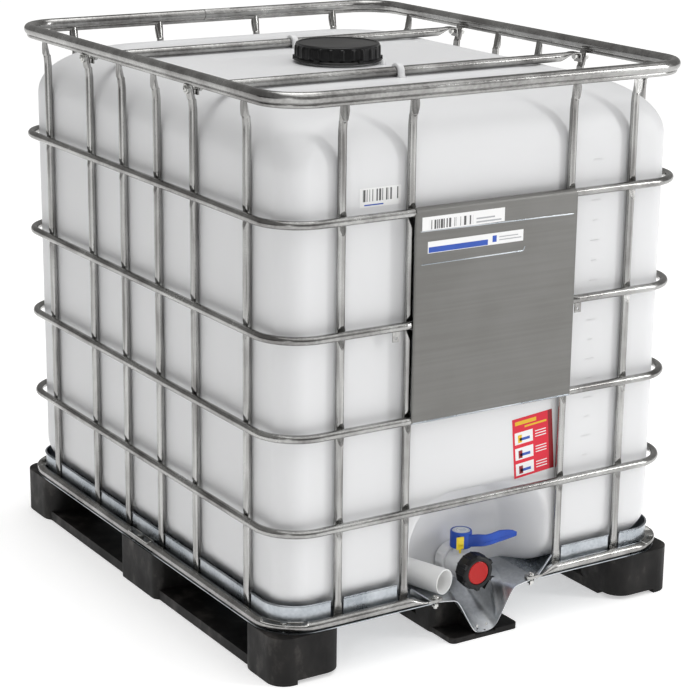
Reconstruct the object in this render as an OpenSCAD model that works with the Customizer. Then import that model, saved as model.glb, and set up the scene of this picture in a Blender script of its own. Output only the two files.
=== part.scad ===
// Intermediate bulk container: blow-moulded bottle in a tube cage on a three-runner pallet.
// Z is up, the outlet faces -Y, the origin is on the floor under the middle of the pallet.

/* [Overall] */
// Overall width
overall_w = 1000; // [980:1:1020]
// Overall depth, outlet side to rear
overall_d = 1200; // [1180:1:1220]
// Overall height, floor to the top of the top rail
overall_h = 1163; // [1160:1:1170]

/* [Cage] */
// Radius of the hoop and upright tubes
tube_r = 8.5; // [8:0.1:8.5]
// Radius of the top rail
top_rail_r = 12; // [11.5:0.1:12.5]
// Radius of the bottom rail
bottom_rail_r = 10; // [9.5:0.1:10.5]
// Bend radius of the hoops and the bottom rail
hoop_bend_r = 90; // [85:1:95]
// Depth that a hoop is pressed into each upright
press_depth = 4.5; // [4.5:0.1:5.5]
// Half distance between the outer front uprights
front_outer_x = 349; // [345:1:352]
// Half distance between the inner front uprights
front_inner_x = 193; // [190:1:195]
// Half distance between the inner rear uprights
rear_inner_x = 130; // [125:1:135]
// Distance of the outer side uprights from the middle
side_outer_y = 446; // [442:1:450]
// Distance of the second side uprights from the middle
side_bar_y = 234; // [230:1:238]
// Distance of the inner side uprights from the middle
side_inner_y = 78; // [74:1:82]

/* [Bottle] */
// Height of the bottle's flat top
bottle_top_z = 1114; // [1113:0.5:1114]
// Wall thickness of the bottle
bottle_wall = 2.5; // [2:0.5:3]
// Radius of the bottle's upright corners
bottle_corner_r = 54; // [52:1:58]
// Inner radius of the filling neck
neck_bore_r = 75; // [74:0.5:75.5]
// Half width of the recess around the outlet
recess_half_w = 176; // [170:1:180]
// Height of the top of the recess
recess_top_z = 325; // [315:1:335]

/* [Pallet] */
// Height of the runners, floor to tray
runner_h = 100; // [99:0.5:101]
// Width of each outer runner
outer_runner_w = 155; // [150:1:160]
// Half width of the middle runner
mid_runner_half_w = 87; // [84:1:88]
// Length of each corner block
corner_block_d = 145; // [140:1:150]
// Half length of the middle blocks
mid_block_half_d = 90; // [86:1:94]

/* [Outlet] */
// Height of the outlet's axis
outlet_z = 130; // [130:0.5:131]
// Inner radius of the outlet
outlet_bore_r = 25; // [24.5:0.5:25]
// Distance of the lever's axis in front of the middle
stem_y = -504; // [-505:1:-503]

/* [Hidden] */
$fn = 64;

half_w = overall_w / 2;
half_d = overall_d / 2;
cut = 1;          // how far a cutting shape runs past the face it cuts
tray_t = 2;       // thickness of the floor tray's sheet

// Cage levels, by the centre of each tube
top_rail_z = overall_h - top_rail_r;
hoop_z = [915, 693, 498.5, 305];
bottom_rail_z = runner_h + tray_t + bottom_rail_r;
hoop_x = half_w - 10;
hoop_y = half_d - 10;
top_rail_inset = 2.5;               // top rail's centre line, in from the hoops' centre line
top_bend_r = 86;
lip_r = 6;                          // bead along the top rail's underside
lip_drop = 13;                      // its centre, below the rail's centre
upright_inset = 2 * tube_r - press_depth;
upright_foot_z = runner_h + 2.5;
upright_bend_z = 1092;
upright_lean = 13;
upright_head_r = tube_r - 0.3;
upright_head_len = 49;
notch_half_l = 20;          // half length of the cutter that presses a hoop into an upright
bolt_r = 4;
bolt_hole_r = 4.1;

// Uprights, by their places along each side
front_xs = [-front_outer_x, -front_inner_x, front_inner_x, front_outer_x];
rear_xs = [-front_outer_x, -rear_inner_x, rear_inner_x, front_outer_x];
side_ys = [-side_outer_y, -side_bar_y, -side_inner_y, side_inner_y, side_bar_y, side_outer_y];

// Front gap of hoop 2, behind the label plate, and its two lugs
hoop_gap_half = 184;
lug_w = 16;
lug_h = 20;
lug_t = 2;
lug_x = [-230, 214];
lug_hole_r = 3;
lug_hole_drop = 12;

// Front gap of the bottom rail, over the chute
rail_gap_half = 138;
rail_tongue_x0 = 106;
rail_tongue_t = 6;
rail_tongue_w = 16;
rail_tongue_z0 = runner_h + tray_t;
chute_bolt_x = 121;

// Sleeve that joins the top rail's two ends at the rear
sleeve_x = 24;
sleeve_half_l = 34;
sleeve_t = 1.6;

// Foot bolts: four corners, the middle of each side and the middle of the rear
corner_bolt_in = hoop_bend_r * (1 - cos(45));
foot_bolt_places = [
  [-hoop_x + corner_bolt_in, -hoop_y + corner_bolt_in], [hoop_x - corner_bolt_in, -hoop_y + corner_bolt_in],
  [-hoop_x + corner_bolt_in, hoop_y - corner_bolt_in], [hoop_x - corner_bolt_in, hoop_y - corner_bolt_in],
  [-hoop_x, 0], [hoop_x, 0], [0, hoop_y]
];
foot_seat_z = bottom_rail_z + 5;
foot_seat_r = 13;
foot_bolt_head_r = 7.5;
foot_bolt_head_h = 5;
foot_bolt_bottom_z = 45;

// Cross bars
bar_r = 10;
bar_z = 1125;
bar_half_l = 452;
bar_tab_x = half_w - 30;
bar_tab_t = 4;
bar_tab_half_w = 12;
bar_tab_bottom = -13;       // from the bar's axis
bar_tab_h = 22;
bar_neck_t = 8;
bar_bolt_head_x = half_w - 6;
bar_bolt_head_r = 8;
bar_bolt_head_h = 4;
bar_seat_r = 10;            // flat on the upright under each bolt head
bar_nut_r = 7.5;
bar_nut_t = 7;
bar_nut_room = 8.5;         // half width of the space left for each nut

// Runners
board_t = 22;
board_recess = 9;
strap_t = 6;
strap_recess = 14;
block_corner_r = 40;
mid_block_corner_r = 22;
end_block_corner_r = 12;    // middle runner's front and rear blocks
mid_setback = 62;           // middle runner's front block stands this far behind the chute's edge
mid_toe_h = 12;             // low plate in front of that block
mid_toe_half_w = 84;
mid_pad_half_w = 23;        // narrow pad on the plate, under the chute's floor
board_lap = 40;             // how far the boards run into the corner blocks
board_half_l = half_d - corner_block_d + board_lap;
foot_relief_h = 9;
foot_relief_x = 452;
foot_relief_d = 60;

// Tray
tray_half_w = half_w - 22;
tray_half_d = half_d - 22;
tray_corner_r = 75;
tray_flange_half_w = half_w - 2;    // flange under the bottom rail
tray_flange_half_d = half_d - 2;
tray_flange_corner_r = 98;
tray_rim_h = 52;
tray_slot_w = 26;
tray_slot_d = 15;           // half depth of the slot cutter
tray_mouth_half_w = 112;
tray_mouth_y = -430;
tray_front_gap_half = 128;

// Chute: a V-shaped trough that falls to the front from the tray's mouth
chute_t = 2;
chute_front_y = -598;
chute_end_y = -440;
chute_low_z = 10;
chute_flange_half_w = 133;
chute_flange_y = -416;
chute_flange_top_z = runner_h;
chute_fall = chute_flange_top_z - chute_low_z;
chute_tilt = atan(chute_fall / (chute_end_y - chute_front_y));
chute_floor_half_w = 22;
chute_side_slope = 0.51;    // sideways run of each flank for one unit of rise
chute_len = 260;
chute_height = 200;
chute_back_l = 60;          // how far the trough's form runs on past its front edge
chute_bolt_head_r = 7;
chute_bolt_head_h = 5;
chute_nut_r = 7.5;
chute_nut_h = 7;
pad_screw_x = 12;
pad_screw_along = 14;
pad_screw_r = 3;
pad_screw_l = 9;
pad_screw_head_r = 6;
pad_screw_head_h = 3;
pad_screw_hole_r = 3.1;

// Label plate and stickers
plate_half_w = 196;
plate_t = 1.3;
plate_z0 = 492;
plate_z1 = 925;
plate_front_y = -half_d + 0.1;
plate_fold_d = 20;
plate_fold_half_w = 182;
plate_clip_x = [-150, 0, 150];
plate_clip_half_w = 15;
plate_clip_h = 12;
sticker_t = 0.3;
// Each sticker is [left edge, bottom edge, width, height]
plate_white_strip = [-181, 878, 195, 28];
plate_blue_strip = [-167, 834, 228, 23];
bottle_code = [-303, 931, 93, 37];
notice_centre = [130, 389];
notice_w = 102;
notice_h = 130;
notice_turn = 5;

// Bottle
bottle_half_w = half_w - 31;
bottle_half_d = half_d - 31;
bottle_z0 = runner_h + tray_t;
bottle_foot_r = 88;
bottle_shoulder_r = 108;
corner_ease = 0.4;     // the corner arcs' plan is this much wider, so that they cross the flat sides
neck_r = 80;
neck_top_z = 1147;
neck_bead_z = 1131;
neck_bead_r = 82;
neck_bead_t = 5;
recess_back_y = -457;
recess_top_r = 120;
recess_foot_z = 60;
outlet_neck_r = 30;
outlet_neck_end_y = -480;
hook_x = [0, 26];      // places of the moulded hooks over the front and the rear cross bar
hook_w = 14;
hook_in_r = 11;
hook_out_r = 17;
stop_angle = -52;      // moulded stop beside the lid
stop_gap = 2;
stop_t = 10;
stop_w = 12;
stop_h = 11;

// Lid
lid_r = 92;
lid_skirt_in_r = 84;
lid_z0 = 1119.5;
lid_z1 = 1156;
lid_top_t = 5;
lid_flange_r = 97;
lid_flange_h = 5;
lid_ribs = 24;
lid_rib_w = 4;
lid_rib_out = 2;
lid_dish_d = 1.5;
lid_rim_w = 7;

// Outlet valve
nut_r = 36;
nut_y0 = -461;
nut_y1 = -489;
nut_ribs = 12;
nut_rib_l = 17;
nut_rib_in = 5;         // distance of the ribs from the nut's front face
nut_rib_w = 6;
valve_flange_y = -482;
valve_flange_t = 4;
valve_flange_r = 31;
valve_r = 29.6;
valve_end_y = -557;
stem_r = 5;
stem_fit = 0.05;
stem_boss_r = 13.5;
stem_boss_top_z = 167;
stem_foot_r = 9;
stem_foot_z = 97;
stem_bottom_z = 100;
flap_r = 24;
flap_t = 4;
flap_hub_r = 7.5;
seal_t = 2.4;
seal_r = 24.8;
lever_z0 = 168;
lever_z1 = 204;
lever_hub_r = 23;
lever_disc_r = 18.5;
lever_disc_t = 2;
stem_top_z = lever_z1 - 6;
// The lever's arm leaves the hub towards the front, then runs along X as a deep blade
lever_leg_plan = [[2, -22], [12, -24], [30, -38], [30, -42], [24, -42], [4, -30]];
lever_leg_rise = 5;
lever_leg_h = 26;
lever_blade_y = -38;
lever_blade_t = 4;
lever_blade_side = [
  [24, 6], [48, 7], [90, 11], [112, 13.5], [114, 17], [112, 23], [104, 28], [70, 34], [42, 30.5], [24, 32]
];
lever_flat_y = -18;    // flat on the hub's front, from the stem, for the tamper clip
lever_flat_x0 = -24;
lever_flat_w = 16;
clip_gap = 0.4;
clip_t = 3.4;
clip_x = -16;
clip_w = 15;
clip_h = 33;
clip_drop = 4;
clip_tongue_w = 6;
clip_tongue_h = 3.5;
cap_r = 37;
cap_rib_r = 39;
cap_y0 = -538;
cap_y1 = -571;
cap_in_r = 30.2;
cap_window_r = 25;
cap_ribs = 12;
cap_rib_w = 6;
cap_bevel = 4;
cap_floor_t = 8.2;
disc_r = 24.7;
disc_inset = 1;
disc_seat_y = cap_y1 + 8.5;
disc_seat_t = 2.5;

spout_r = 27;
spout_in_r = 24;
spout_len = 108;
spout_turn = 18;
spout_at = [-87, -572];
spout_gap = 0.4;

module rounded_plate(hx, hy, r, t) {
  linear_extrude(t) {
    square([2 * hx, 2 * (hy - r)], center = true);
    square([2 * (hx - r), 2 * hy], center = true);
    for (sx = [-1, 1]) for (sy = [-1, 1]) translate([sx * (hx - r), sy * (hy - r)]) circle(r = r);
  }
}

module rod_x(r, x0, x1) {
  translate([x0, 0, 0]) rotate([0, 90, 0]) cylinder(r = r, h = x1 - x0);
}

module rod_y(r, y0, y1) {
  translate([0, y0, 0]) rotate([-90, 0, 0]) cylinder(r = r, h = y1 - y0);
}

// Closed ring of bent tube; a front gap of half length gap leaves it open at -Y
module tube_ring(hx, hy, bend, r, z, gap = 0) {
  translate([0, 0, z]) {
    for (s = [-1, 1]) translate([s * hx, 0, 0]) rod_y(r, -(hy - bend), hy - bend);
    translate([0, hy, 0]) rod_x(r, -(hx - bend), hx - bend);
    if (gap == 0) translate([0, -hy, 0]) rod_x(r, -(hx - bend), hx - bend);
    else for (s = [-1, 1]) scale([s, 1, 1]) translate([0, -hy, 0]) rod_x(r, gap, hx - bend);
    for (c = [[1, 1, 0], [-1, 1, 90], [-1, -1, 180], [1, -1, 270]])
      translate([c[0] * (hx - bend), c[1] * (hy - bend), 0]) rotate([0, 0, c[2]])
        rotate_extrude(angle = 90) translate([bend, 0]) circle(r = r);
  }
}

module hoop(i) {
  color("silver") tube_ring(hoop_x, hoop_y, hoop_bend_r, tube_r, hoop_z[i], i == 1 ? hoop_gap_half : 0);
}

module hoop_lugs() {
  color("silver") for (x = lug_x)
    translate([x, -hoop_y, hoop_z[1]]) difference() {
      translate([-lug_w / 2, -lug_t / 2, -tube_r - lug_h]) cube([lug_w, lug_t, tube_r + lug_h]);
      rod_x(tube_r, -lug_w, lug_w);
      translate([0, 0, -tube_r - lug_hole_drop]) rod_y(lug_hole_r, -lug_t, lug_t);
    }
}

module top_rail() {
  color("silver") {
    tube_ring(hoop_x - top_rail_inset, hoop_y - top_rail_inset, top_bend_r, top_rail_r, top_rail_z);
    tube_ring(hoop_x - top_rail_inset, hoop_y - top_rail_inset, top_bend_r, lip_r, top_rail_z - lip_drop);
  }
}

// Pressed sleeve around the inner side of the top rail, above its lip
module rail_sleeve() {
  cutter_l = 2 * (sleeve_half_l + cut);
  room = 2 * top_rail_r;
  color("silver") translate([sleeve_x, hoop_y - top_rail_inset, top_rail_z]) difference() {
    rod_x(top_rail_r + sleeve_t, -sleeve_half_l, sleeve_half_l);
    rod_x(top_rail_r, -sleeve_half_l - cut, sleeve_half_l + cut);
    translate([0, 0, -lip_drop]) rod_x(lip_r, -sleeve_half_l - cut, sleeve_half_l + cut);
    translate([-cutter_l / 2, 0, -room]) cube([cutter_l, room, 2 * room]);
    translate([-cutter_l / 2, -room, top_rail_r]) cube([cutter_l, 2 * room, room]);
  }
}

module chute_bolt_places() {
  for (s = [-1, 1]) translate([s * chute_bolt_x, -hoop_y, 0]) children();
}

module foot_bolt_holes(r, z0, z1) {
  for (p = foot_bolt_places) translate([p[0], p[1], z0]) cylinder(r = r, h = z1 - z0);
}

module bottom_rail() {
  color("silver") difference() {
    union() {
      tube_ring(hoop_x, hoop_y, hoop_bend_r, bottom_rail_r, bottom_rail_z, rail_gap_half);
      for (s = [-1, 1]) scale([s, 1, 1])
        translate([rail_tongue_x0, -hoop_y - rail_tongue_w / 2, rail_tongue_z0])
          cube([rail_gap_half - rail_tongue_x0 + rail_tongue_t, rail_tongue_w, rail_tongue_t]);
    }
    foot_bolt_holes(bolt_hole_r, bottom_rail_z - 20, bottom_rail_z + 20);
    foot_bolt_holes(foot_seat_r, foot_seat_z, bottom_rail_z + 20);
    chute_bolt_places() cylinder(r = bolt_hole_r, h = bottom_rail_z + 20);
  }
}

module foot_bolts() {
  color("gainsboro") for (p = foot_bolt_places) translate([p[0], p[1], 0]) {
    translate([0, 0, foot_bolt_bottom_z]) cylinder(r = bolt_r, h = foot_seat_z - foot_bolt_bottom_z + cut);
    translate([0, 0, foot_seat_z]) cylinder(r = foot_bolt_head_r, h = foot_bolt_head_h);
  }
}

// One upright, with its outward side along +X and the hoops' centre line at x = 0
module upright(bolted) {
  color("silver") difference() {
    union() {
      translate([-upright_inset, 0, upright_foot_z])
        cylinder(r = tube_r, h = upright_bend_z - upright_foot_z);
      translate([-upright_inset, 0, upright_bend_z - 6]) rotate([0, upright_lean, 0])
        cylinder(r = upright_head_r, h = upright_head_len);
    }
    for (z = hoop_z) translate([0, 0, z]) rod_y(tube_r, -notch_half_l, notch_half_l);
    translate([0, 0, bottom_rail_z]) rod_y(bottom_rail_r, -notch_half_l, notch_half_l);
    translate([-top_rail_inset, 0, top_rail_z]) rod_y(top_rail_r, -notch_half_l, notch_half_l);
    translate([-top_rail_inset, 0, top_rail_z - lip_drop]) rod_y(lip_r, -notch_half_l, notch_half_l);
    if (bolted) translate([0, 0, bar_z]) {
      rod_x(bolt_hole_r, -2 * notch_half_l, notch_half_l);
      rod_x(bar_seat_r, bar_bolt_head_x - hoop_x, notch_half_l);
    }
  }
}

module front_upright(x) {
  translate([x, -hoop_y, 0]) rotate([0, 0, -90]) upright(false);
}

module rear_upright(x) {
  translate([x, hoop_y, 0]) rotate([0, 0, 90]) upright(false);
}

module left_upright(y) {
  translate([-hoop_x, y, 0]) rotate([0, 0, 180]) upright(abs(y) == side_bar_y);
}

module right_upright(y) {
  translate([hoop_x, y, 0]) upright(abs(y) == side_bar_y);
}

module cross_bar(y) {
  color("silver") translate([0, y, bar_z]) difference() {
    union() {
      rod_x(bar_r, -bar_half_l, bar_half_l);
      for (s = [-1, 1]) scale([s, 1, 1]) {
        translate([bar_half_l - 4, -bar_tab_half_w, -bar_neck_t / 2])
          cube([bar_tab_x - bar_half_l + 5, 2 * bar_tab_half_w, bar_neck_t]);
        translate([bar_tab_x, -bar_tab_half_w, bar_tab_bottom])
          cube([bar_tab_t, 2 * bar_tab_half_w, bar_tab_h]);
      }
    }
    for (s = [-1, 1]) scale([s, 1, 1]) {
      rod_x(bolt_hole_r, bar_tab_x - bar_nut_t - 3, half_w);
      translate([bar_tab_x - bar_nut_t - 1.5, -bar_nut_room, -bar_nut_room])
        cube([bar_nut_t + 1.5, 2 * bar_nut_room, 2 * bar_nut_room]);
    }
  }
}

module bar_end_places() {
  for (s = [-1, 1]) for (y = [-side_bar_y, side_bar_y])
    scale([s, 1, 1]) translate([0, y, bar_z]) children();
}

module cross_bar_bolts() {
  color("gainsboro") bar_end_places() {
    rod_x(bolt_r, bar_tab_x - bar_nut_t - 1, bar_bolt_head_x + cut);
    rod_x(bar_bolt_head_r, bar_bolt_head_x, bar_bolt_head_x + bar_bolt_head_h);
  }
}

module cross_bar_nuts() {
  color("gray") bar_end_places() difference() {
    translate([bar_tab_x - bar_nut_t, 0, 0]) rotate([0, 90, 0])
      cylinder(r = bar_nut_r, h = bar_nut_t, $fn = 6);
    rod_x(bolt_r, bar_tab_x - bar_nut_t - 1, bar_tab_x + 1);
  }
}

// V-shaped trough, solid up to its open top; grow widens it by one sheet thickness
module trough_solid(grow) {
  side = chute_side_slope / cos(chute_tilt);
  translate([0, chute_front_y, chute_low_z]) rotate([chute_tilt, 0, 0])
    translate([0, chute_len - chute_back_l, -grow]) rotate([90, 0, 0]) linear_extrude(chute_len)
      polygon([
        [-chute_floor_half_w - grow, 0], [chute_floor_half_w + grow, 0],
        [chute_floor_half_w + grow + side * chute_height, chute_height],
        [-chute_floor_half_w - grow - side * chute_height, chute_height]
      ]);
}

module chute_plate() {
  color("silver") difference() {
    union() {
      translate([-chute_flange_half_w, chute_front_y, chute_flange_top_z - chute_t])
        cube([2 * chute_flange_half_w, chute_flange_y - chute_front_y, chute_t]);
      intersection() {
        trough_solid(chute_t);
        translate([-chute_flange_half_w, chute_front_y, 0])
          cube([2 * chute_flange_half_w, chute_flange_y - chute_front_y, chute_flange_top_z]);
      }
    }
    trough_solid(0);
    chute_bolt_places() cylinder(r = bolt_hole_r, h = chute_flange_top_z + cut);
    pad_screw_places() translate([0, 0, -pad_screw_l]) cylinder(r = pad_screw_hole_r, h = 2 * pad_screw_l);
  }
}

module pad_screw_places() {
  translate([0, chute_front_y, chute_low_z]) rotate([chute_tilt, 0, 0])
    for (s = [-1, 1]) translate([s * pad_screw_x, pad_screw_along, 0]) children();
}

module chute_screws() {
  nut_z = chute_flange_top_z - chute_t - chute_nut_h;
  end_z = nut_z - chute_bolt_head_h;
  head_z = rail_tongue_z0 + rail_tongue_t;
  color("gainsboro") {
    chute_bolt_places() {
      translate([0, 0, end_z]) cylinder(r = bolt_r, h = head_z + cut - end_z);
      translate([0, 0, head_z]) cylinder(r = chute_bolt_head_r, h = chute_bolt_head_h);
      translate([0, 0, nut_z]) cylinder(r = chute_nut_r, h = chute_nut_h, $fn = 6);
    }
    pad_screw_places() {
      translate([0, 0, -pad_screw_l]) cylinder(r = pad_screw_r, h = pad_screw_l + cut);
      cylinder(r = pad_screw_head_r, h = pad_screw_head_h);
    }
  }
}

// Board or strap that joins the blocks of one runner, half_x wide each way about cx
module runner_board(cx, half_x, z0, t) {
  translate([cx - half_x, -board_half_l, z0]) cube([2 * half_x, 2 * board_half_l, t]);
}

// Outer runner at -X; its outer side face is at x = -half_w
module outer_runner() {
  block_cx = -half_w + outer_runner_w / 2;
  difference() {
    union() {
      for (s = [-1, 1]) translate([block_cx, s * (half_d - corner_block_d / 2), 0])
        rounded_plate(outer_runner_w / 2, corner_block_d / 2, block_corner_r, runner_h);
      translate([block_cx, 0, 0])
        rounded_plate(outer_runner_w / 2, mid_block_half_d, mid_block_corner_r, runner_h);
      runner_board(block_cx + board_recess / 2, (outer_runner_w - board_recess) / 2, 0, board_t);
      runner_board(
        block_cx + strap_recess / 2, (outer_runner_w - strap_recess) / 2, runner_h - strap_t, strap_t
      );
    }
    for (s = [-1, 1]) translate([-foot_relief_x, s * half_d - foot_relief_d, -cut])
      cube([half_w, 2 * foot_relief_d, foot_relief_h + cut]);
    foot_bolt_holes(bolt_hole_r, foot_bolt_bottom_z - 2, runner_h + cut);
  }
}

module runner_left() {
  color("#3a3836") outer_runner();
}

module runner_right() {
  color("#3a3836") mirror([1, 0, 0]) outer_runner();
}

module runner_middle() {
  color("#3a3836") difference() {
    union() {
      translate([0, half_d - corner_block_d / 2, 0])
        rounded_plate(mid_runner_half_w, corner_block_d / 2, end_block_corner_r, runner_h);
      translate([0, -half_d + (corner_block_d + mid_setback) / 2, 0])
        rounded_plate(mid_runner_half_w, (corner_block_d - mid_setback) / 2, mid_block_corner_r, runner_h);
      rounded_plate(mid_runner_half_w, mid_block_half_d, mid_block_corner_r, runner_h);
      runner_board(0, mid_runner_half_w, 0, board_t);
      runner_board(0, mid_runner_half_w, runner_h - strap_t, strap_t);
      translate([0, -half_d + corner_block_d / 2, 0])
        rounded_plate(mid_toe_half_w, corner_block_d / 2, end_block_corner_r, mid_toe_h);
      translate([-mid_pad_half_w, -half_d + end_block_corner_r, 0])
        cube([2 * mid_pad_half_w, corner_block_d / 2, runner_h]);
    }
    translate([-chute_flange_half_w - cut, chute_front_y - 10, chute_flange_top_z - chute_t - 0.1])
      cube([2 * (chute_flange_half_w + cut), chute_flange_y - chute_front_y + 10 + cut, 10]);
    translate([0, 0, -0.1]) trough_solid(chute_t);
    pad_screw_places() translate([0, 0, -pad_screw_l - 0.5])
      cylinder(r = pad_screw_hole_r, h = 2 * pad_screw_l);
    foot_bolt_holes(bolt_hole_r, foot_bolt_bottom_z - 2, runner_h + cut);
  }
}

module tray_shell() {
  rounded_plate(tray_flange_half_w, tray_flange_half_d, tray_flange_corner_r, tray_t);
  difference() {
    rounded_plate(tray_half_w, tray_half_d, tray_corner_r, tray_rim_h);
    translate([0, 0, tray_t])
      rounded_plate(tray_half_w - tray_t, tray_half_d - tray_t, tray_corner_r - tray_t, tray_rim_h);
  }
}

// Slot cutter in the upstand, for an upright at the origin of its children's frame
module tray_slot() {
  translate([-tray_slot_d, -tray_slot_w / 2, tray_t]) cube([2 * tray_slot_d, tray_slot_w, tray_rim_h]);
}

module floor_tray() {
  color("silver") translate([0, 0, runner_h]) difference() {
    tray_shell();
    for (x = front_xs) translate([x, -tray_half_d, 0]) rotate([0, 0, 90]) tray_slot();
    for (x = rear_xs) translate([x, tray_half_d, 0]) rotate([0, 0, 90]) tray_slot();
    for (y = side_ys) for (s = [-1, 1]) translate([s * tray_half_w, y, 0]) tray_slot();
    translate([-tray_mouth_half_w, -half_d, -cut])
      cube([2 * tray_mouth_half_w, half_d + tray_mouth_y, 2 * tray_rim_h]);
    translate([-tray_front_gap_half, -half_d, tray_t])
      cube([2 * tray_front_gap_half, half_d - tray_half_d + 2 * tray_corner_r, tray_rim_h]);
    translate([0, 0, -runner_h]) {
      foot_bolt_holes(bolt_hole_r, runner_h - cut, runner_h + 2 * tray_t);
      chute_bolt_places() cylinder(r = bolt_hole_r, h = runner_h + 2 * tray_t);
    }
  }
}

// Sheet hung over hoop 1, with a fold on top and short clips down behind the hoop
module label_plate() {
  color("gray") translate([0, plate_front_y, 0]) {
    translate([-plate_half_w, 0, plate_z0]) cube([2 * plate_half_w, plate_t, plate_z1 - plate_z0]);
    translate([-plate_fold_half_w, 0, plate_z1 - plate_t])
      cube([2 * plate_fold_half_w, plate_fold_d, plate_t]);
    for (x = plate_clip_x)
      translate([x - plate_clip_half_w, plate_fold_d - plate_t, plate_z1 - plate_clip_h])
        cube([2 * plate_clip_half_w, plate_t, plate_clip_h]);
  }
}

// Sticker s = [left edge, bottom edge, width, height] on a front face at y
module sticker(s, y) {
  translate([s[0], y - sticker_t, s[1]]) cube([s[2], sticker_t, s[3]]);
}

module plate_stickers() {
  color("white") sticker(plate_white_strip, plate_front_y);
  color("royalblue") sticker(plate_blue_strip, plate_front_y);
}

module bottle_stickers() {
  color("white") sticker(bottle_code, -bottle_half_d);
  color("crimson") translate([notice_centre[0], 0, notice_centre[1]]) rotate([0, -notice_turn, 0])
    sticker([-notice_w / 2, -notice_h / 2, notice_w, notice_h], -bottle_half_d);
}

// Rounded box cut from three crossing outlines
module bottle_form(inset) {
  hx = bottle_half_w - inset;
  hy = bottle_half_d - inset;
  foot_r = bottle_foot_r - inset;
  top_r = bottle_shoulder_r - inset;
  z0 = bottle_z0 + inset;
  z1 = bottle_top_z - inset;
  intersection() {
    translate([0, 0, z0])
      rounded_plate(hx + corner_ease, hy + corner_ease, bottle_corner_r - inset, z1 - z0);
    translate([0, hy, 0]) rotate([90, 0, 0]) linear_extrude(2 * hy) side_outline(hx, foot_r, top_r, z0, z1);
    translate([-hx, 0, 0]) rotate([90, 0, 90]) linear_extrude(2 * hx) side_outline(hy, foot_r, top_r, z0, z1);
  }
}

module side_outline(h, foot_r, top_r, z0, z1) {
  for (s = [-1, 1]) {
    translate([s * (h - foot_r), z0 + foot_r]) circle(r = foot_r);
    translate([s * (h - top_r), z1 - top_r]) circle(r = top_r);
  }
  translate([-h, z0 + foot_r]) square([2 * h, z1 - top_r - z0 - foot_r]);
  translate([-h + top_r, z0]) square([2 * (h - top_r), z1 - z0]);
}

module recess_form(grow) {
  hw = recess_half_w + grow;
  top = recess_top_z + grow;
  r = recess_top_r + grow;
  translate([0, recess_back_y + grow, 0]) rotate([90, 0, 0]) linear_extrude(200) {
    translate([-hw, recess_foot_z]) square([2 * hw, top - r - recess_foot_z]);
    translate([-hw + r, recess_foot_z]) square([2 * (hw - r), top - recess_foot_z]);
    for (s = [-1, 1]) translate([s * (hw - r), top - r]) circle(r = r);
  }
}

// Moulded hook that holds a cross bar down on the bottle's top
module bar_hook(x, y) {
  translate([x, y, bar_z]) difference() {
    union() {
      rod_x(hook_out_r, -hook_w / 2, hook_w / 2);
      translate([-hook_w / 2, -hook_out_r, -hook_out_r]) cube([hook_w, 2 * hook_out_r, hook_out_r]);
    }
    rod_x(hook_in_r, -hook_w, hook_w);
    translate([-hook_w, -hook_in_r, -2 * hook_out_r]) cube([2 * hook_w, 2 * hook_in_r, 2 * hook_out_r]);
    translate([-hook_w, -2 * hook_out_r, -4 * hook_out_r - (bar_z - bottle_top_z) - 1])
      cube([2 * hook_w, 4 * hook_out_r, 4 * hook_out_r]);
  }
}

module bottle() {
  color("whitesmoke") difference() {
    union() {
      difference() {
        bottle_form(0);
        recess_form(0);
      }
      translate([0, 0, bottle_top_z - cut]) cylinder(r = neck_r, h = neck_top_z - bottle_top_z + cut);
      translate([0, 0, neck_bead_z]) cylinder(r = neck_bead_r, h = neck_bead_t);
      rotate([0, 0, stop_angle]) translate([lid_flange_r + stop_gap, -stop_w / 2, bottle_top_z - cut])
        cube([stop_t, stop_w, stop_h + cut]);
      translate([0, 0, outlet_z]) rod_y(outlet_neck_r, outlet_neck_end_y, recess_back_y + cut);
      bar_hook(hook_x[0], -side_bar_y);
      bar_hook(hook_x[1], side_bar_y);
    }
    difference() {
      bottle_form(bottle_wall);
      recess_form(bottle_wall);
    }
    translate([0, 0, bottle_top_z - 10]) cylinder(r = neck_bore_r, h = neck_top_z - bottle_top_z + 20);
    translate([0, 0, outlet_z]) rod_y(outlet_bore_r, outlet_neck_end_y - cut, recess_back_y + 10);
  }
}

module lid() {
  color("#202022") difference() {
    union() {
      translate([0, 0, lid_z0]) cylinder(r = lid_r, h = lid_z1 - lid_z0);
      translate([0, 0, lid_z0]) cylinder(r = lid_flange_r, h = lid_flange_h);
      for (i = [0 : lid_ribs - 1]) rotate([0, 0, i * 360 / lid_ribs])
        translate([lid_r - 3, -lid_rib_w / 2, lid_z0])
          cube([3 + lid_rib_out, lid_rib_w, lid_z1 - lid_z0 - lid_top_t]);
    }
    translate([0, 0, lid_z0 - cut]) cylinder(r = lid_skirt_in_r, h = lid_z1 - lid_z0 - lid_top_t + cut);
    translate([0, 0, lid_z1 - lid_dish_d]) cylinder(r = lid_r - lid_rim_w, h = lid_dish_d + cut);
  }
}

module lid_gasket() {
  color("#555555") translate([0, 0, neck_top_z]) difference() {
    cylinder(r = neck_r, h = lid_z1 - lid_top_t - neck_top_z);
    translate([0, 0, -cut]) cylinder(r = neck_bore_r, h = 10);
  }
}

module outlet_nut() {
  color("whitesmoke") translate([0, 0, outlet_z]) difference() {
    union() {
      rod_y(nut_r, nut_y1, nut_y0);
      for (i = [0 : nut_ribs - 1]) rotate([0, i * 360 / nut_ribs, 0])
        translate([nut_r - 2, nut_y1 + nut_rib_in, -nut_rib_w / 2]) cube([3, nut_rib_l, nut_rib_w]);
    }
    rod_y(outlet_neck_r, valve_flange_y + 2, nut_y0 + cut);
    rod_y(valve_flange_r, valve_flange_y - valve_flange_t, valve_flange_y + 2.5);
    rod_y(valve_r, nut_y1 - cut, valve_flange_y);
  }
}

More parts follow.
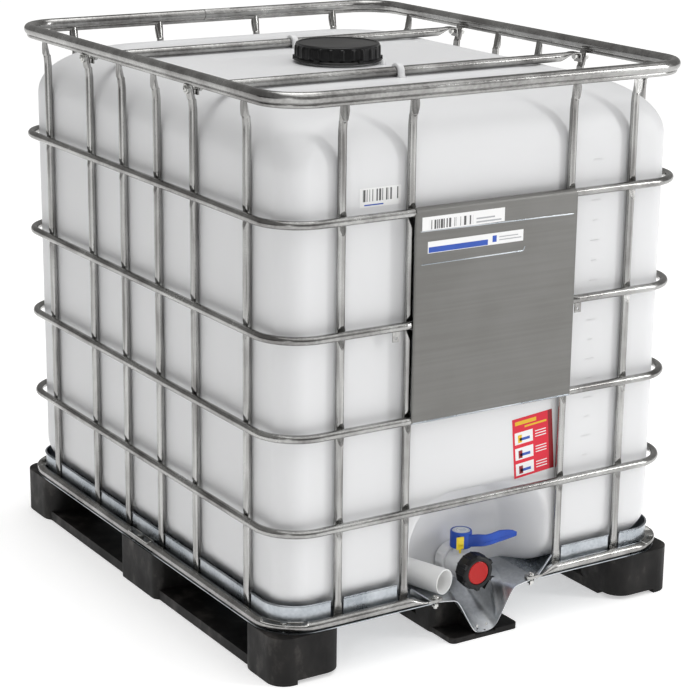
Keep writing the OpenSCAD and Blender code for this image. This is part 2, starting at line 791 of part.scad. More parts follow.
module outlet_gasket() {
  color("#333333") translate([0, 0, outlet_z]) difference() {
    rod_y(outlet_neck_r - 0.5, valve_flange_y, outlet_neck_end_y);
    rod_y(outlet_bore_r, valve_flange_y - cut, outlet_neck_end_y + cut);
  }
}

module valve_body() {
  color("white") difference() {
    union() {
      translate([0, 0, outlet_z]) rod_y(valve_flange_r, valve_flange_y - valve_flange_t, valve_flange_y);
      translate([0, 0, outlet_z]) rod_y(valve_r, valve_end_y, valve_flange_y - 1);
      translate([0, stem_y, outlet_z]) cylinder(r = stem_boss_r, h = stem_boss_top_z - outlet_z);
      translate([0, stem_y, stem_foot_z]) cylinder(r = stem_foot_r, h = outlet_z - stem_foot_z);
    }
    translate([0, 0, outlet_z]) rod_y(outlet_bore_r, valve_end_y - cut, valve_flange_y + cut);
    translate([0, stem_y, stem_bottom_z - 0.2]) cylinder(r = stem_r + stem_fit, h = 100);
  }
}

module valve_stem() {
  color("gainsboro") translate([0, stem_y, stem_bottom_z])
    cylinder(r = stem_r, h = stem_top_z - stem_bottom_z);
}

module valve_flap() {
  color("white") translate([0, stem_y, outlet_z]) difference() {
    union() {
      rod_y(flap_r, -flap_t / 2, flap_t / 2);
      translate([0, 0, -flap_r + 3]) cylinder(r = flap_hub_r, h = 2 * flap_r - 6);
    }
    translate([0, 0, -50]) cylinder(r = stem_r, h = 100);
    flap_seal_form();
  }
}

module flap_seal_form() {
  difference() {
    rod_y(seal_r, -seal_t / 2, seal_t / 2);
    rod_y(flap_r - 2.5, -flap_t, flap_t);
  }
}

module flap_seal() {
  color("#333333") translate([0, stem_y, outlet_z]) difference() {
    flap_seal_form();
    translate([0, 0, -50]) cylinder(r = stem_r + 0.1, h = 100);
    translate([0, 0, -flap_r + 3]) cylinder(r = flap_hub_r + 0.1, h = 2 * flap_r - 6);
  }
}

module lever() {
  color("royalblue") translate([0, stem_y, lever_z0]) difference() {
    union() {
      cylinder(r = lever_hub_r, h = lever_z1 - lever_z0);
      translate([0, 0, lever_leg_rise]) linear_extrude(lever_leg_h) polygon(lever_leg_plan);
      translate([0, lever_blade_y, 0]) rotate([90, 0, 0]) linear_extrude(lever_blade_t)
        polygon(lever_blade_side);
    }
    translate([0, 0, -cut]) cylinder(r = stem_r, h = stem_top_z - lever_z0 + cut);
    translate([0, 0, lever_z1 - lever_z0 - lever_disc_t]) cylinder(r = lever_disc_r, h = lever_disc_t + cut);
    translate([lever_flat_x0, 2 * lever_flat_y, -cut])
      cube([lever_flat_w, -lever_flat_y, lever_z1 - lever_z0 + 2 * cut]);
  }
}

module lever_disc() {
  color("gainsboro") translate([0, stem_y, lever_z1 - lever_disc_t])
    cylinder(r = lever_disc_r, h = lever_disc_t);
}

module tamper_clip() {
  y0 = stem_y + lever_flat_y - clip_gap - clip_t;
  z0 = lever_z0 - clip_drop;
  color("gold") translate([clip_x, y0, z0]) {
    translate([-clip_w / 2, 0, 0]) cube([clip_w, clip_t, clip_h]);
    translate([-clip_tongue_w / 2, 0, cut - clip_tongue_h]) cube([clip_tongue_w, clip_t, clip_tongue_h]);
  }
}

module outlet_cap() {
  color("#202022") translate([0, 0, outlet_z]) difference() {
    union() {
      rod_y(cap_r, cap_y1 + cap_bevel, cap_y0);
      rod_y(cap_r - cap_bevel - cut, cap_y1, cap_y0);
      for (i = [0 : cap_ribs - 1]) rotate([0, i * 360 / cap_ribs, 0])
        translate([cap_r - 2, cap_y1 + cap_bevel + 2, -cap_rib_w / 2])
          cube([cap_rib_r - cap_r + 2, cap_y0 - cap_y1 - 2 * cap_bevel, cap_rib_w]);
    }
    rod_y(cap_in_r, cap_y1 + cap_floor_t, cap_y0 + cut);
    rod_y(cap_window_r, cap_y1 - cut, cap_y1 + cap_floor_t + cut);
  }
}

module cap_disc() {
  color("crimson") translate([0, 0, outlet_z]) {
    rod_y(disc_r, cap_y1 + disc_inset, disc_seat_y);
    rod_y(cap_in_r - 0.4, disc_seat_y, disc_seat_y + disc_seat_t);
  }
}

module cap_gasket() {
  color("#333333") translate([0, 0, outlet_z]) difference() {
    rod_y(valve_r - 0.4, disc_seat_y + disc_seat_t, valve_end_y);
    rod_y(outlet_bore_r, cap_y1, valve_end_y + cut);
  }
}

module spout_tube() {
  color("white") translate([spout_at[0], spout_at[1], runner_h + tray_t + spout_r + spout_gap])
    rotate([0, 0, spout_turn])
    difference() {
      rod_y(spout_r, 0, spout_len);
      rod_y(spout_in_r, -cut, spout_len + cut);
    }
}

runner_left();
runner_middle();
runner_right();
floor_tray();
chute_plate();
chute_screws();
foot_bolts();
bottom_rail();
top_rail();
rail_sleeve();
for (i = [0 : 3]) hoop(i);
hoop_lugs();
for (i = [0 : 3]) front_upright(front_xs[i]);
for (i = [0 : 3]) rear_upright(rear_xs[i]);
for (i = [0 : 5]) left_upright(side_ys[i]);
for (i = [0 : 5]) right_upright(side_ys[i]);
cross_bar(-side_bar_y);  // cross_bar_front
cross_bar(side_bar_y);  // cross_bar_rear
cross_bar_bolts();
cross_bar_nuts();
label_plate();
plate_stickers();
bottle_stickers();
bottle();
lid();
lid_gasket();
outlet_nut();
outlet_gasket();
valve_body();
valve_stem();
valve_flap();
flap_seal();
lever();
lever_disc();
tamper_clip();
outlet_cap();
cap_disc();
cap_gasket();
spout_tube();
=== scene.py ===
"""Looks for the intermediate bulk container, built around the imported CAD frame.

Lengths are written in millimetres and turned into metres when a mesh is made.
"""

import math

import bmesh
import bpy
import numpy as np
from mathutils import Matrix, Vector


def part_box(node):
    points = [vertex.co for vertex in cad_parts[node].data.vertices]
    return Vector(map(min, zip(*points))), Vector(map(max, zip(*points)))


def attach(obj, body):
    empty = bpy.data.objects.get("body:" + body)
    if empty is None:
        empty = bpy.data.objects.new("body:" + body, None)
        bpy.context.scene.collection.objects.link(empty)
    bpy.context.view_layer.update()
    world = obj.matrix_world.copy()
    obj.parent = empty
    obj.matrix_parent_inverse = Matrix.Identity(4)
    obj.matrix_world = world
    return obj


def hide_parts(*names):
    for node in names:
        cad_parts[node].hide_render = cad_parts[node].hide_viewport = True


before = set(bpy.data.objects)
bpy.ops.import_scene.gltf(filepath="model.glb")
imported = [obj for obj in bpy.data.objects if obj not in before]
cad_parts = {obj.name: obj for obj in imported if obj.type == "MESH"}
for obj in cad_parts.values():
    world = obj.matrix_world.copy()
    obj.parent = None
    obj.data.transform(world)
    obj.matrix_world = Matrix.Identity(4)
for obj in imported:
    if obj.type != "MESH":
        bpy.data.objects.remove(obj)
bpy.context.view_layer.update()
MM = 0.001
TAU = 2 * math.pi
# Height of the outlet's axis, and the valve stem's place in front of the middle.
OUTLET_Z = 130
STEM_Y = -504


# ---------------------------------------------------------------- camera and studio

CAMERA_AZIMUTH = math.radians(-32.491)
CAMERA_ELEVATION = math.radians(16.207)
CAMERA_ROLL = math.radians(0.726)
CAMERA_AT = Vector((-2.3672, -3.7817, 1.7634))
CAMERA_LENS = 106.53
SENSOR = 36.0
SKY_COLOUR = (1.0, 0.99, 0.975, 1)
SKY_STRENGTH = 0.30
FLOOR_GLOW = 0.46
FLOOR_SIZE = 80.0


def make_camera():
    data = bpy.data.cameras.new("camera")
    data.lens = CAMERA_LENS
    data.sensor_width = SENSOR
    camera = bpy.data.objects.new("camera", data)
    bpy.context.scene.collection.objects.link(camera)
    bpy.context.scene.camera = camera
    back = Vector((
        math.sin(CAMERA_AZIMUTH) * math.cos(CAMERA_ELEVATION),
        -math.cos(CAMERA_AZIMUTH) * math.cos(CAMERA_ELEVATION),
        math.sin(CAMERA_ELEVATION),
    ))
    right = (-back).cross(Vector((0, 0, 1))).normalized()
    up = right.cross(-back)
    rolled_right = right * math.cos(CAMERA_ROLL) + up * math.sin(CAMERA_ROLL)
    rolled_up = up * math.cos(CAMERA_ROLL) - right * math.sin(CAMERA_ROLL)
    turn = Matrix((rolled_right, rolled_up, back)).transposed()
    camera.matrix_world = Matrix.Translation(CAMERA_AT) @ turn.to_4x4()


def aim(light, at, target):
    light.location = at
    light.rotation_mode = "QUATERNION"
    light.rotation_quaternion = (Vector(target) - Vector(at)).to_track_quat("-Z", "Y")
    bpy.context.scene.collection.objects.link(light)


def area_light(name, at, target, size, power):
    data = bpy.data.lights.new(name, "AREA")
    data.shape = "RECTANGLE"
    data.size, data.size_y = size
    data.energy = power
    aim(bpy.data.objects.new(name, data), at, target)


def sun_light(name, at, strength, angle):
    data = bpy.data.lights.new(name, "SUN")
    data.energy = strength
    data.angle = math.radians(angle)
    aim(bpy.data.objects.new(name, data), at, (0, 0, 0))


def stage_material(name, colour, roughness):
    material = bpy.data.materials.new(name)
    material.use_nodes = True
    shader = material.node_tree.nodes["Principled BSDF"]
    shader.inputs["Base Color"].default_value = (*colour, 1)
    shader.inputs["Roughness"].default_value = roughness
    return material


def stage_plane(name, at, size_x, size_y, turn, material):
    hx, hy = size_x / 2, size_y / 2
    mesh = bpy.data.meshes.new(name)
    mesh.from_pydata([(-hx, -hy, 0), (hx, -hy, 0), (hx, hy, 0), (-hx, hy, 0)], [], [(0, 1, 2, 3)])
    mesh.materials.append(material)
    plane = bpy.data.objects.new(name, mesh)
    plane.location = at
    plane.rotation_euler = turn
    bpy.context.scene.collection.objects.link(plane)


def make_studio():
    bpy.context.scene.view_settings.view_transform = "Standard"
    world = bpy.data.worlds.new("studio")
    bpy.context.scene.world = world
    world.use_nodes = True
    background = world.node_tree.nodes["Background"]
    background.inputs["Color"].default_value = SKY_COLOUR
    background.inputs["Strength"].default_value = SKY_STRENGTH
    sun_light("sun", (0.5, -1.0, 4.0), 1.10, 70)
    area_light("key", (6.2, -6.0, 3.2), (0, -0.3, 0.6), (0.9, 5.0), 195)
    area_light("top", (0.2, 0.4, 4.4), (0, 0, 0.9), (2.4, 2.4), 40)
    area_light("fill", (-3.6, -3.4, 1.4), (0, 0, 0.6), (0.7, 2.4), 8)
    floor = stage_material("studio_floor", (0.97, 0.97, 0.97), 0.7)
    glow = floor.node_tree.nodes["Principled BSDF"]
    glow.inputs["Emission Color"].default_value = (1, 1, 1, 1)
    glow.inputs["Emission Strength"].default_value = FLOOR_GLOW
    stage_plane("floor", (0, 0, 0), FLOOR_SIZE, FLOOR_SIZE, (0, 0, 0), floor)
    flag = stage_material("studio_flag", (0.03, 0.028, 0.026), 0.9)
    upright = math.radians(90)
    stage_plane("flag_left", (-6.5, 0.8, 0.9), 1.8, 7.0, (0, upright, 0), flag)
    stage_plane("flag_front", (-1.0, -8.0, 0.8), 7.0, 1.4, (upright, 0, 0), flag)


# ---------------------------------------------------------------- materials

class Look:
    """One material's node tree, built on the object's own coordinates."""

    def __init__(self, name):
        self.material = bpy.data.materials.new(name)
        self.material.use_nodes = True
        self.tree = self.material.node_tree
        self.shader = self.tree.nodes["Principled BSDF"]
        self.coords = self.tree.nodes.new("ShaderNodeTexCoord").outputs["Object"]

    def add(self, kind, **inputs):
        node = self.tree.nodes.new("ShaderNode" + kind)
        for key, value in inputs.items():
            node.inputs[key.replace("_", " ")].default_value = value
        return node

    def link(self, source, target):
        self.tree.links.new(source, target)

    def set(self, **values):
        for key, value in values.items():
            self.shader.inputs[key.replace("_", " ")].default_value = value

    def noise(self, scale, detail=3.0, stretch=(1, 1, 1), roughness=0.5):
        mapping = self.add("Mapping", Scale=stretch)
        self.link(self.coords, mapping.inputs["Vector"])
        noise = self.add("TexNoise", Scale=scale, Detail=detail, Roughness=roughness)
        self.link(mapping.outputs["Vector"], noise.inputs["Vector"])
        return noise.outputs["Fac"]

    def ramp(self, factor, *stops):
        node = self.add("ValToRGB")
        elements = node.color_ramp.elements
        while len(elements) < len(stops):
            elements.new(0.5)
        for element, (place, colour) in zip(elements, stops):
            element.position = place
            element.color = (*colour, 1)
        self.link(factor, node.inputs["Fac"])
        return node.outputs["Color"]

    def span(self, factor, low, high):
        node = self.add("MapRange", From_Min=0.3, From_Max=0.7, To_Min=low, To_Max=high)
        self.link(factor, node.inputs["Value"])
        return node.outputs["Result"]

    def math(self, operation, a, b):
        node = self.add("Math")
        node.operation = operation
        for socket, value in zip(node.inputs, (a, b)):
            if isinstance(value, (int, float)):
                socket.default_value = value
            else:
                self.link(value, socket)
        return node.outputs["Value"]

    def bump(self, height, strength, distance):
        node = self.add("Bump", Strength=strength, Distance=distance)
        self.link(height, node.inputs["Height"])
        self.link(node.outputs["Normal"], self.shader.inputs["Normal"])

    def colour(self, output):
        self.link(output, self.shader.inputs["Base Color"])

    def roughness(self, output):
        self.link(output, self.shader.inputs["Roughness"])


def steel(name, dark, light, rough, stretch=(1, 1, 1), streaks=0.25, wave=0.12):
    look = Look(name)
    look.set(Metallic=1.0)
    broad = look.noise(9.0, 4.0)
    fine = look.noise(140.0, 3.0, stretch)
    tone = look.math("ADD", look.math("MULTIPLY", fine, streaks), look.math("MULTIPLY", broad, 1 - streaks))
    look.colour(look.ramp(tone, (0.38, dark), (0.62, light)))
    look.roughness(look.span(tone, rough[0], rough[1]))
    look.bump(look.noise(16.0, 2.0, (1, 1, 0.5)), wave, 0.5 * MM)
    return look.material


def plastic(name, dark, light, rough, grain=400.0, bump=0.1, scale=6.0, scatter=0.0, shine=0.5):
    look = Look(name)
    look.set(Specular_IOR_Level=shine)
    broad = look.noise(scale, 5.0)
    look.colour(look.ramp(broad, (0.35, dark), (0.65, light)))
    look.roughness(look.span(broad, rough[0], rough[1]))
    look.bump(look.noise(grain, 2.0), bump, 0.3 * MM)
    if scatter:
        look.set(Subsurface_Weight=scatter, Subsurface_Radius=(1.0, 1.0, 1.05), Subsurface_Scale=0.02)
    return look.material


def recycled_plastic(name):
    look = Look(name)
    swirl = look.noise(8.0, 7.0, (1, 1, 0.7), 0.62)
    streak = look.noise(30.0, 3.0, (1, 1, 0.5))
    tone = look.math("ADD", look.math("MULTIPLY", swirl, 0.75), look.math("MULTIPLY", streak, 0.25))
    look.colour(look.ramp(tone, (0.42, (0.004, 0.0035, 0.0035)), (0.52, (0.011, 0.0098, 0.009)),
                          (0.62, (0.060, 0.054, 0.050))))
    look.roughness(look.span(tone, 0.70, 0.44))
    look.set(Specular_IOR_Level=0.28)
    pits = look.math("ADD", look.noise(120.0, 4.0), look.math("MULTIPLY", swirl, 2.0))
    look.bump(pits, 0.35, 0.6 * MM)
    return look.material


TUBE = steel("galvanised_tube", (0.20, 0.195, 0.19), (0.44, 0.44, 0.43), (0.16, 0.30))
POST = steel("galvanised_upright", (0.20, 0.195, 0.19), (0.48, 0.48, 0.47), (0.16, 0.30), (1, 1, 0.04), 0.6)
SHEET = steel("galvanised_sheet", (0.30, 0.33, 0.36), (0.54, 0.57, 0.60), (0.24, 0.34), wave=0.08)
PRESSED = steel("pressed_sheet", (0.42, 0.44, 0.46), (0.66, 0.68, 0.70), (0.30, 0.42), wave=0.1)
PLATE = steel("label_steel", (0.168, 0.166, 0.158), (0.196, 0.194, 0.187), (0.36, 0.44),
              (0.02, 0.02, 1), 0.5, 0.05)
ZINC = steel("zinc_fastener", (0.38, 0.38, 0.37), (0.66, 0.66, 0.64), (0.16, 0.28))
BOTTLE = plastic("natural_polyethylene", (0.785, 0.79, 0.80), (0.825, 0.83, 0.84), (0.36, 0.46),
                 900, 0.03, 1.5, 0.25)
BLACK = recycled_plastic("recycled_black")
LID_BLACK = plastic("lid_black", (0.003, 0.003, 0.0035), (0.006, 0.006, 0.0065), (0.26, 0.36),
                    500, 0.1, shine=0.32)
WHITE = plastic("valve_white", (0.84, 0.85, 0.86), (0.90, 0.90, 0.91), (0.28, 0.36), 600, 0.05, 8.0, 0.15)
SPOUT = plastic("spout_white", (0.86, 0.865, 0.86), (0.91, 0.91, 0.90), (0.30, 0.38), 600, 0.05, 8.0, 0.2)
BLUE = plastic("lever_blue", (0.009, 0.055, 0.36), (0.013, 0.080, 0.48), (0.30, 0.42),
               700, 0.12, 30.0, shine=0.36)
YELLOW = plastic("clip_yellow", (0.86, 0.62, 0.02), (0.95, 0.75, 0.03), (0.30, 0.40), 700, 0.08)
RED = plastic("disc_red", (0.38, 0.004, 0.004), (0.48, 0.007, 0.006), (0.10, 0.18), 700, 0.03, shine=0.3)
RUBBER = plastic("gasket_rubber", (0.02, 0.02, 0.02), (0.04, 0.04, 0.04), (0.5, 0.7))
FILM = plastic("film_white", (0.88, 0.88, 0.88), (0.93, 0.93, 0.93), (0.30, 0.40), 800, 0.03)


# ---------------------------------------------------------------- mesh pieces

def box_mm(node):
    low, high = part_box(node)
    return low / MM, high / MM


def clamp(x, low, high):
    return min(max(x, low), high)


def smoothstep(low, high, x):
    """0 below low, 1 above high and a smooth rise between."""
    t = clamp((x - low) / (high - low), 0, 1)
    return t * t * (3 - 2 * t)


class Piece:
    """Collects vertices, given in millimetres, faces and their material numbers, then becomes one object."""

    def __init__(self, name, *materials):
        self.name = name
        self.materials = materials
        self.verts = []
        self.faces = []
        self.slots = []

    def add(self, verts, faces, slot=0):
        base = len(self.verts)
        self.verts.extend(tuple(float(c) * MM for c in v) for v in verts)
        self.faces.extend(tuple(base + i for i in face) for face in faces)
        self.slots.extend([slot] * len(faces))

    def loft(self, rings, loop=False, caps=(True, True), slot=0):
        """Skins a list of rings of equal length; loop joins the last ring to the first."""
        count = len(rings[0])
        faces = []
        spans = len(rings) if loop else len(rings) - 1
        for i in range(spans):
            a, b = i * count, (i + 1) % len(rings) * count
            for j in range(count):
                k = (j + 1) % count
                faces.append((a + j, a + k, b + k, b + j))
        if not loop and caps[0]:
            faces.append(tuple(range(count))[::-1])
        if not loop and caps[1]:
            faces.append(tuple(range((len(rings) - 1) * count, len(rings) * count)))
        self.add([p for ring in rings for p in ring], faces, slot)

    def revolve(self, profile, origin, axis, steps=48, slot=0, wave=None, loop=False):
        """Turns (radius, distance) pairs about an axis; wave(angle, radius, distance) gives a new radius."""
        axis = Vector(axis).normalized()
        side = axis.orthogonal().normalized()
        if abs(axis.z) < 0.9:
            side = Vector((0, 0, 1))
        other = axis.cross(side)
        rings = []
        for radius, along in profile:
            ring = []
            for i in range(steps):
                angle = TAU * i / steps
                r = wave(angle, radius, along) if wave else radius
                out = side * math.cos(angle) + other * math.sin(angle)
                ring.append(Vector(origin) + axis * along + out * r)
            rings.append(ring)
        self.loft(rings, loop=loop, slot=slot)

    def prism(self, outline, start, end, slot=0):
        """Extrudes a flat outline of 3-D points from offset start to offset end."""
        start, end = Vector(start), Vector(end)
        points = [Vector(p) for p in outline]
        self.loft([[p + start for p in points], [p + end for p in points]], slot=slot)

    def block(self, low, high, slot=0):
        (x0, y0, z0), (x1, y1, z1) = low, high
        outline = [(x0, y0, 0), (x1, y0, 0), (x1, y1, 0), (x0, y1, 0)]
        self.prism(outline, (0, 0, z0), (0, 0, z1), slot)

    def finish(self, body, slot_name, *nodes, angle=35, bevel=0.0):
        mesh = bpy.data.meshes.new(self.name)
        mesh.from_pydata(self.verts, [], self.faces)
        for material in self.materials:
            mesh.materials.append(material)
        mesh.polygons.foreach_set("material_index", self.slots)
        work = bmesh.new()
        work.from_mesh(mesh)
        bmesh.ops.recalc_face_normals(work, faces=work.faces)
        work.to_mesh(mesh)
        work.free()
        mesh.polygons.foreach_set("use_smooth", [True] * len(mesh.polygons))
        mesh.set_sharp_from_angle(angle=math.radians(angle))
        piece = bpy.data.objects.new(self.name, mesh)
        bpy.context.scene.collection.objects.link(piece)
        if bevel:
            modifier = piece.modifiers.new("soft_edges", "BEVEL")
            modifier.width = bevel * MM
            modifier.segments = 2
            modifier.limit_method = "ANGLE"
            modifier.angle_limit = math.radians(40)
        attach(piece, body)
        if nodes:
            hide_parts(*nodes)
        return piece


def circle_points(radius, steps, start=0.0):
    return [(radius * math.cos(start + TAU * i / steps), radius * math.sin(start + TAU * i / steps))
            for i in range(steps)]


def arc_points(cx, cy, radius, start, end, steps):
    """Points on an arc from start to end, in degrees, both ends included."""
    angles = np.radians(np.linspace(start, end, steps))
    return [(cx + radius * math.cos(a), cy + radius * math.sin(a)) for a in angles]


def corner_centres(hx, hy, r):
    """Centre and start angle of each corner of a rounded rectangle, from the front right one."""
    return ((hx - r, -hy + r, -90), (hx - r, hy - r, 0), (-hx + r, hy - r, 90), (-hx + r, -hy + r, 180))


# ---------------------------------------------------------------- bent tubes

class Ring:
    """Centre line of a bent tube that goes round the container, open at the front by half length gap."""

    def __init__(self, half_x, half_y, bend, gap=0.0):
        self.legs = []
        self.length = 0.0
        self.closed = gap == 0.0
        self.bend = bend
        ix, iy = half_x - bend, half_y - bend
        sides = (((gap, -half_y), (1, 0), ix - gap), ((half_x, -iy), (0, 1), 2 * iy),
                 ((ix, half_y), (-1, 0), 2 * ix), ((-half_x, iy), (0, -1), 2 * iy))
        for (start, along, length), corner in zip(sides, corner_centres(half_x, half_y, bend)):
            self.add_leg("line", (start, along), length)
            self.add_leg("arc", corner, bend * math.pi / 2)
        self.add_leg("line", ((-ix, -half_y), (1, 0)), ix - gap)

    def add_leg(self, kind, data, length):
        self.legs.append((self.length, length, kind, data))
        self.length += length

    def at(self, s):
        """Point and outward normal at distance s along the line."""
        for start, length, kind, data in self.legs:
            if s <= start + length or (start, length) == self.legs[-1][:2]:
                t = s - start
                if kind == "line":
                    (x, y), (dx, dy) = data
                    return (x + dx * t, y + dy * t), (dy, -dx)
                cx, cy, start_angle = data
                angle = math.radians(start_angle) + t / self.bend
                normal = (math.cos(angle), math.sin(angle))
                return (cx + self.bend * normal[0], cy + self.bend * normal[1]), normal

    def nearest(self, x, y):
        steps = np.linspace(0, self.length, 6000)
        return float(min(steps, key=lambda s: math.dist(self.at(s)[0], (x, y))))

    def stations(self, arc_steps=18, windows=()):
        """Distances worth a cross-section: leg ends, bends, and fine steps in each (centre, half, step)."""
        places = set()
        for start, length, kind, _ in self.legs:
            count = arc_steps if kind == "arc" else 4
            places.update(round(start + length * i / count, 3) for i in range(count + 1))
        for centre, half, step in windows:
            count = int(round(2 * half / step))
            places.update(round(centre - half + i * step, 3) for i in range(count + 1))
        places = sorted(p for p in places if 0 <= p <= self.length)
        if self.closed:
            places = places[:-1]
        kept = [places[0]]
        for p in places[1:]:
            if p - kept[-1] > 0.4:
                kept.append(p)
        return kept


def sweep(piece, ring, level, section, stations):
    """Skins section(s), a list of (outward, up) points, along a ring at one level."""
    rings = []
    for s in stations:
        (x, y), (nx, ny) = ring.at(s)
        rings.append([(x + nx * a, y + ny * a, level + b) for a, b in section(s)])
    piece.loft(rings, loop=ring.closed)


# ---------------------------------------------------------------- cage

HOOP_BEND = 90
TOP_BEND = 86
LIP_R = 6
LIP_DROP = 13
HOOPS = ["hoop_1", "hoop_2", "hoop_3", "hoop_4"]
# Half the opening of the second hoop, behind the label plate, and how far its ends are flattened.
HOOP_GAP = 184
END_REACH = 26
# Depth of the seats where hoops and uprights cross, and the bend under the top rail.
PRESS_DEPTH = 4.6
HEAD_START = 1088
HEAD_BEND = 14
HEAD_LEAN = math.radians(13)


def tube_numbers(node):
    """Half sizes of the centre line, level and radius of a ring of round tube."""
    low, high = box_mm(node)
    radius = (high.z - low.z) / 2
    return high.x - radius, high.y - radius, (low.z + high.z) / 2, radius


HOOP_X, HOOP_Y, _, TUBE_R = tube_numbers("hoop_1")
HOOP_LEVELS = [tube_numbers(node)[2] for node in HOOPS]
RAIL_TOP = box_mm("top_rail")[1].z
TOP_R = 12
RAIL_LEVEL = RAIL_TOP - TOP_R
RAIL_X = box_mm("top_rail")[1].x - TOP_R
RAIL_Y = box_mm("top_rail")[1].y - TOP_R
FOOT_RAIL_R = 10
FOOT_RAIL_LEVEL = box_mm("bottom_rail")[0].z + FOOT_RAIL_R


def make_hoops():
    for node, level in zip(HOOPS, HOOP_LEVELS):
        gap = HOOP_GAP if node == "hoop_2" else 0.0
        ring = Ring(HOOP_X, HOOP_Y, HOOP_BEND, gap)
        piece = Piece("tube_" + node, TUBE)

        def section(s):
            end = min(s, ring.length - s)
            pressed = 1 - smoothstep(2, END_REACH, end) if gap else 0
            flat, wide = 1 - 0.45 * pressed, 1 + 0.25 * pressed
            return [(x * flat, z * wide) for x, z in circle_points(TUBE_R, 24)]

        windows = [(10, 20, 2.5), (ring.length - 10, 20, 2.5)] if gap else []
        sweep(piece, ring, level, section, ring.stations(windows=windows))
        piece.finish("container", "galvanised_tube", node)


def rail_section():
    """Outline of the top rail: a tube with a smaller bead pressed along its underside."""
    meet_z = -(LIP_DROP ** 2 + TOP_R ** 2 - LIP_R ** 2) / (2 * LIP_DROP)
    meet_x = math.sqrt(TOP_R ** 2 - meet_z ** 2)
    start = math.atan2(meet_z, meet_x)
    points = []
    for i in range(25):
        angle = start + (TAU / 2 - 2 * (start + TAU / 4) + TAU / 2) * i / 24
        points.append((TOP_R * math.cos(angle), TOP_R * math.sin(angle)))
    low = math.atan2(meet_z + LIP_DROP, meet_x)
    for i in range(1, 12):
        angle = math.pi - low + (math.pi + 2 * low) * i / 12
        points.append((LIP_R * math.cos(angle), LIP_R * math.sin(angle) - LIP_DROP))
    return points


def make_top_rail():
    ring = Ring(RAIL_X, RAIL_Y, TOP_BEND)
    piece = Piece("rail_with_lip", TUBE)
    outline = rail_section()
    sweep(piece, ring, RAIL_LEVEL, lambda s: outline, ring.stations(arc_steps=24))
    piece.finish("container", "galvanised_tube", "top_rail", angle=40)


def foot_bolt_places():
    inset = HOOP_BEND * (1 - math.cos(math.radians(45)))
    corners = [(sx * (HOOP_X - inset), sy * (HOOP_Y - inset)) for sx in (-1, 1) for sy in (-1, 1)]
    return corners + [(-HOOP_X, 0), (HOOP_X, 0), (0, HOOP_Y)]


# The bottom rail is open over the chute; its ends are crushed flat and rounded.
RAIL_GAP = 138
CRUSH_REACH = 46
TONGUE_X = 115
TONGUE_R = 9
# Pressed seats of the foot bolts: half length, height of the floor above the rail's centre, rim.
DIMPLE_HALF = 48
DIMPLE_FLOOR = 4.6
RIM_HALF_WIDTH = 9.4
RIM_R = 1.5


def add_dimple_rim(piece, ring, mark):
    """Raised lip that runs round a pressed seat on top of the bottom rail; it takes the brighter zinc
    material, a painted highlight along its crest.
    """
    half, wide, steps = DIMPLE_HALF - 8, RIM_HALF_WIDTH, 12
    path = [(half + wide * math.sin(math.pi * i / steps), wide * math.cos(math.pi * i / steps))
            for i in range(steps + 1)]
    path += [(half - 2 * half * i / 24, -wide) for i in range(1, 24)]
    path += [(-s, -a) for s, a in path[:steps + 1]]
    path += [(-half + 2 * half * i / 24, wide) for i in range(1, 24)]
    rings = []
    for i, (s, a) in enumerate(path):
        ahead, behind = path[(i + 1) % len(path)], path[i - 1]
        ds, da = ahead[0] - behind[0], ahead[1] - behind[1]
        size = math.hypot(ds, da)
        across = (-da / size, ds / size)
        section = []
        for u, v in circle_points(RIM_R, 8):
            side_s, side_a = s + across[0] * u, min(a + across[1] * u, FOOT_RAIL_R - 0.1)
            (x, y), (nx, ny) = ring.at(mark + side_s)
            rise = DIMPLE_FLOOR + 1.0
            if abs(side_s) > half:
                rise = max(rise, math.sqrt(FOOT_RAIL_R ** 2 - min(abs(side_a), 9.5) ** 2) - 0.5)
            section.append((x + nx * side_a, y + ny * side_a, FOOT_RAIL_LEVEL + rise + v))
        rings.append(section)
    # Slot 1, the brighter zinc, is a painted highlight on the lip's crest.
    piece.loft(rings, loop=True, slot=1)


def make_bottom_rail():
    ring = Ring(HOOP_X, HOOP_Y, HOOP_BEND, RAIL_GAP)
    marks = [ring.nearest(x, y) for x, y in foot_bolt_places()]
    # Slot 1, zinc, gives the dimple rims a lighter colour than the rail: a painted highlight on their
    # crests.
    piece = Piece("foot_rail", TUBE, ZINC)

    def section(s):
        near = min(abs(s - mark) for mark in marks)
        pressed = 1 - smoothstep(DIMPLE_HALF - 12, DIMPLE_HALF, near)
        crush = 1 - smoothstep(4, CRUSH_REACH, min(s, ring.length - s))
        points = []
        for a, b in circle_points(FOOT_RAIL_R, 40, TAU / 80):
            inside = 1 - smoothstep(7.4, 9.0, abs(a))
            top = FOOT_RAIL_R - pressed * inside * (FOOT_RAIL_R - DIMPLE_FLOOR)
            high = min(b, top)
            flat_b = -FOOT_RAIL_R + 3 + 3 * b / FOOT_RAIL_R
            a *= 1 + 0.12 * pressed if a < 0 else 1
            points.append((a * (1 - 0.15 * crush) if a > 0 else a * (1 + 0.2 * crush),
                           high * (1 - crush) + flat_b * crush))
        return points

    windows = [(mark, DIMPLE_HALF + 2, 2.0) for mark in marks]
    windows += [(24, 24, 2.0), (ring.length - 24, 24, 2.0)]
    sweep(piece, ring, FOOT_RAIL_LEVEL, section, ring.stations(windows=windows))
    for mark in marks:
        add_dimple_rim(piece, ring, mark)
    foot = box_mm("bottom_rail")[0].z
    for side in (-1, 1):
        tip = [(side * (TONGUE_X - a), b - HOOP_Y, foot) for a, b in arc_points(0, 0, TONGUE_R, -90, 90, 13)]
        root = [(side * (RAIL_GAP + 6), b - HOOP_Y, foot) for b in (TONGUE_R, -TONGUE_R)]
        piece.prism(tip + root, (0, 0, 0.1), (0, 0, 5.6))
    piece.finish("container", "galvanised_tube", "bottom_rail", angle=50)


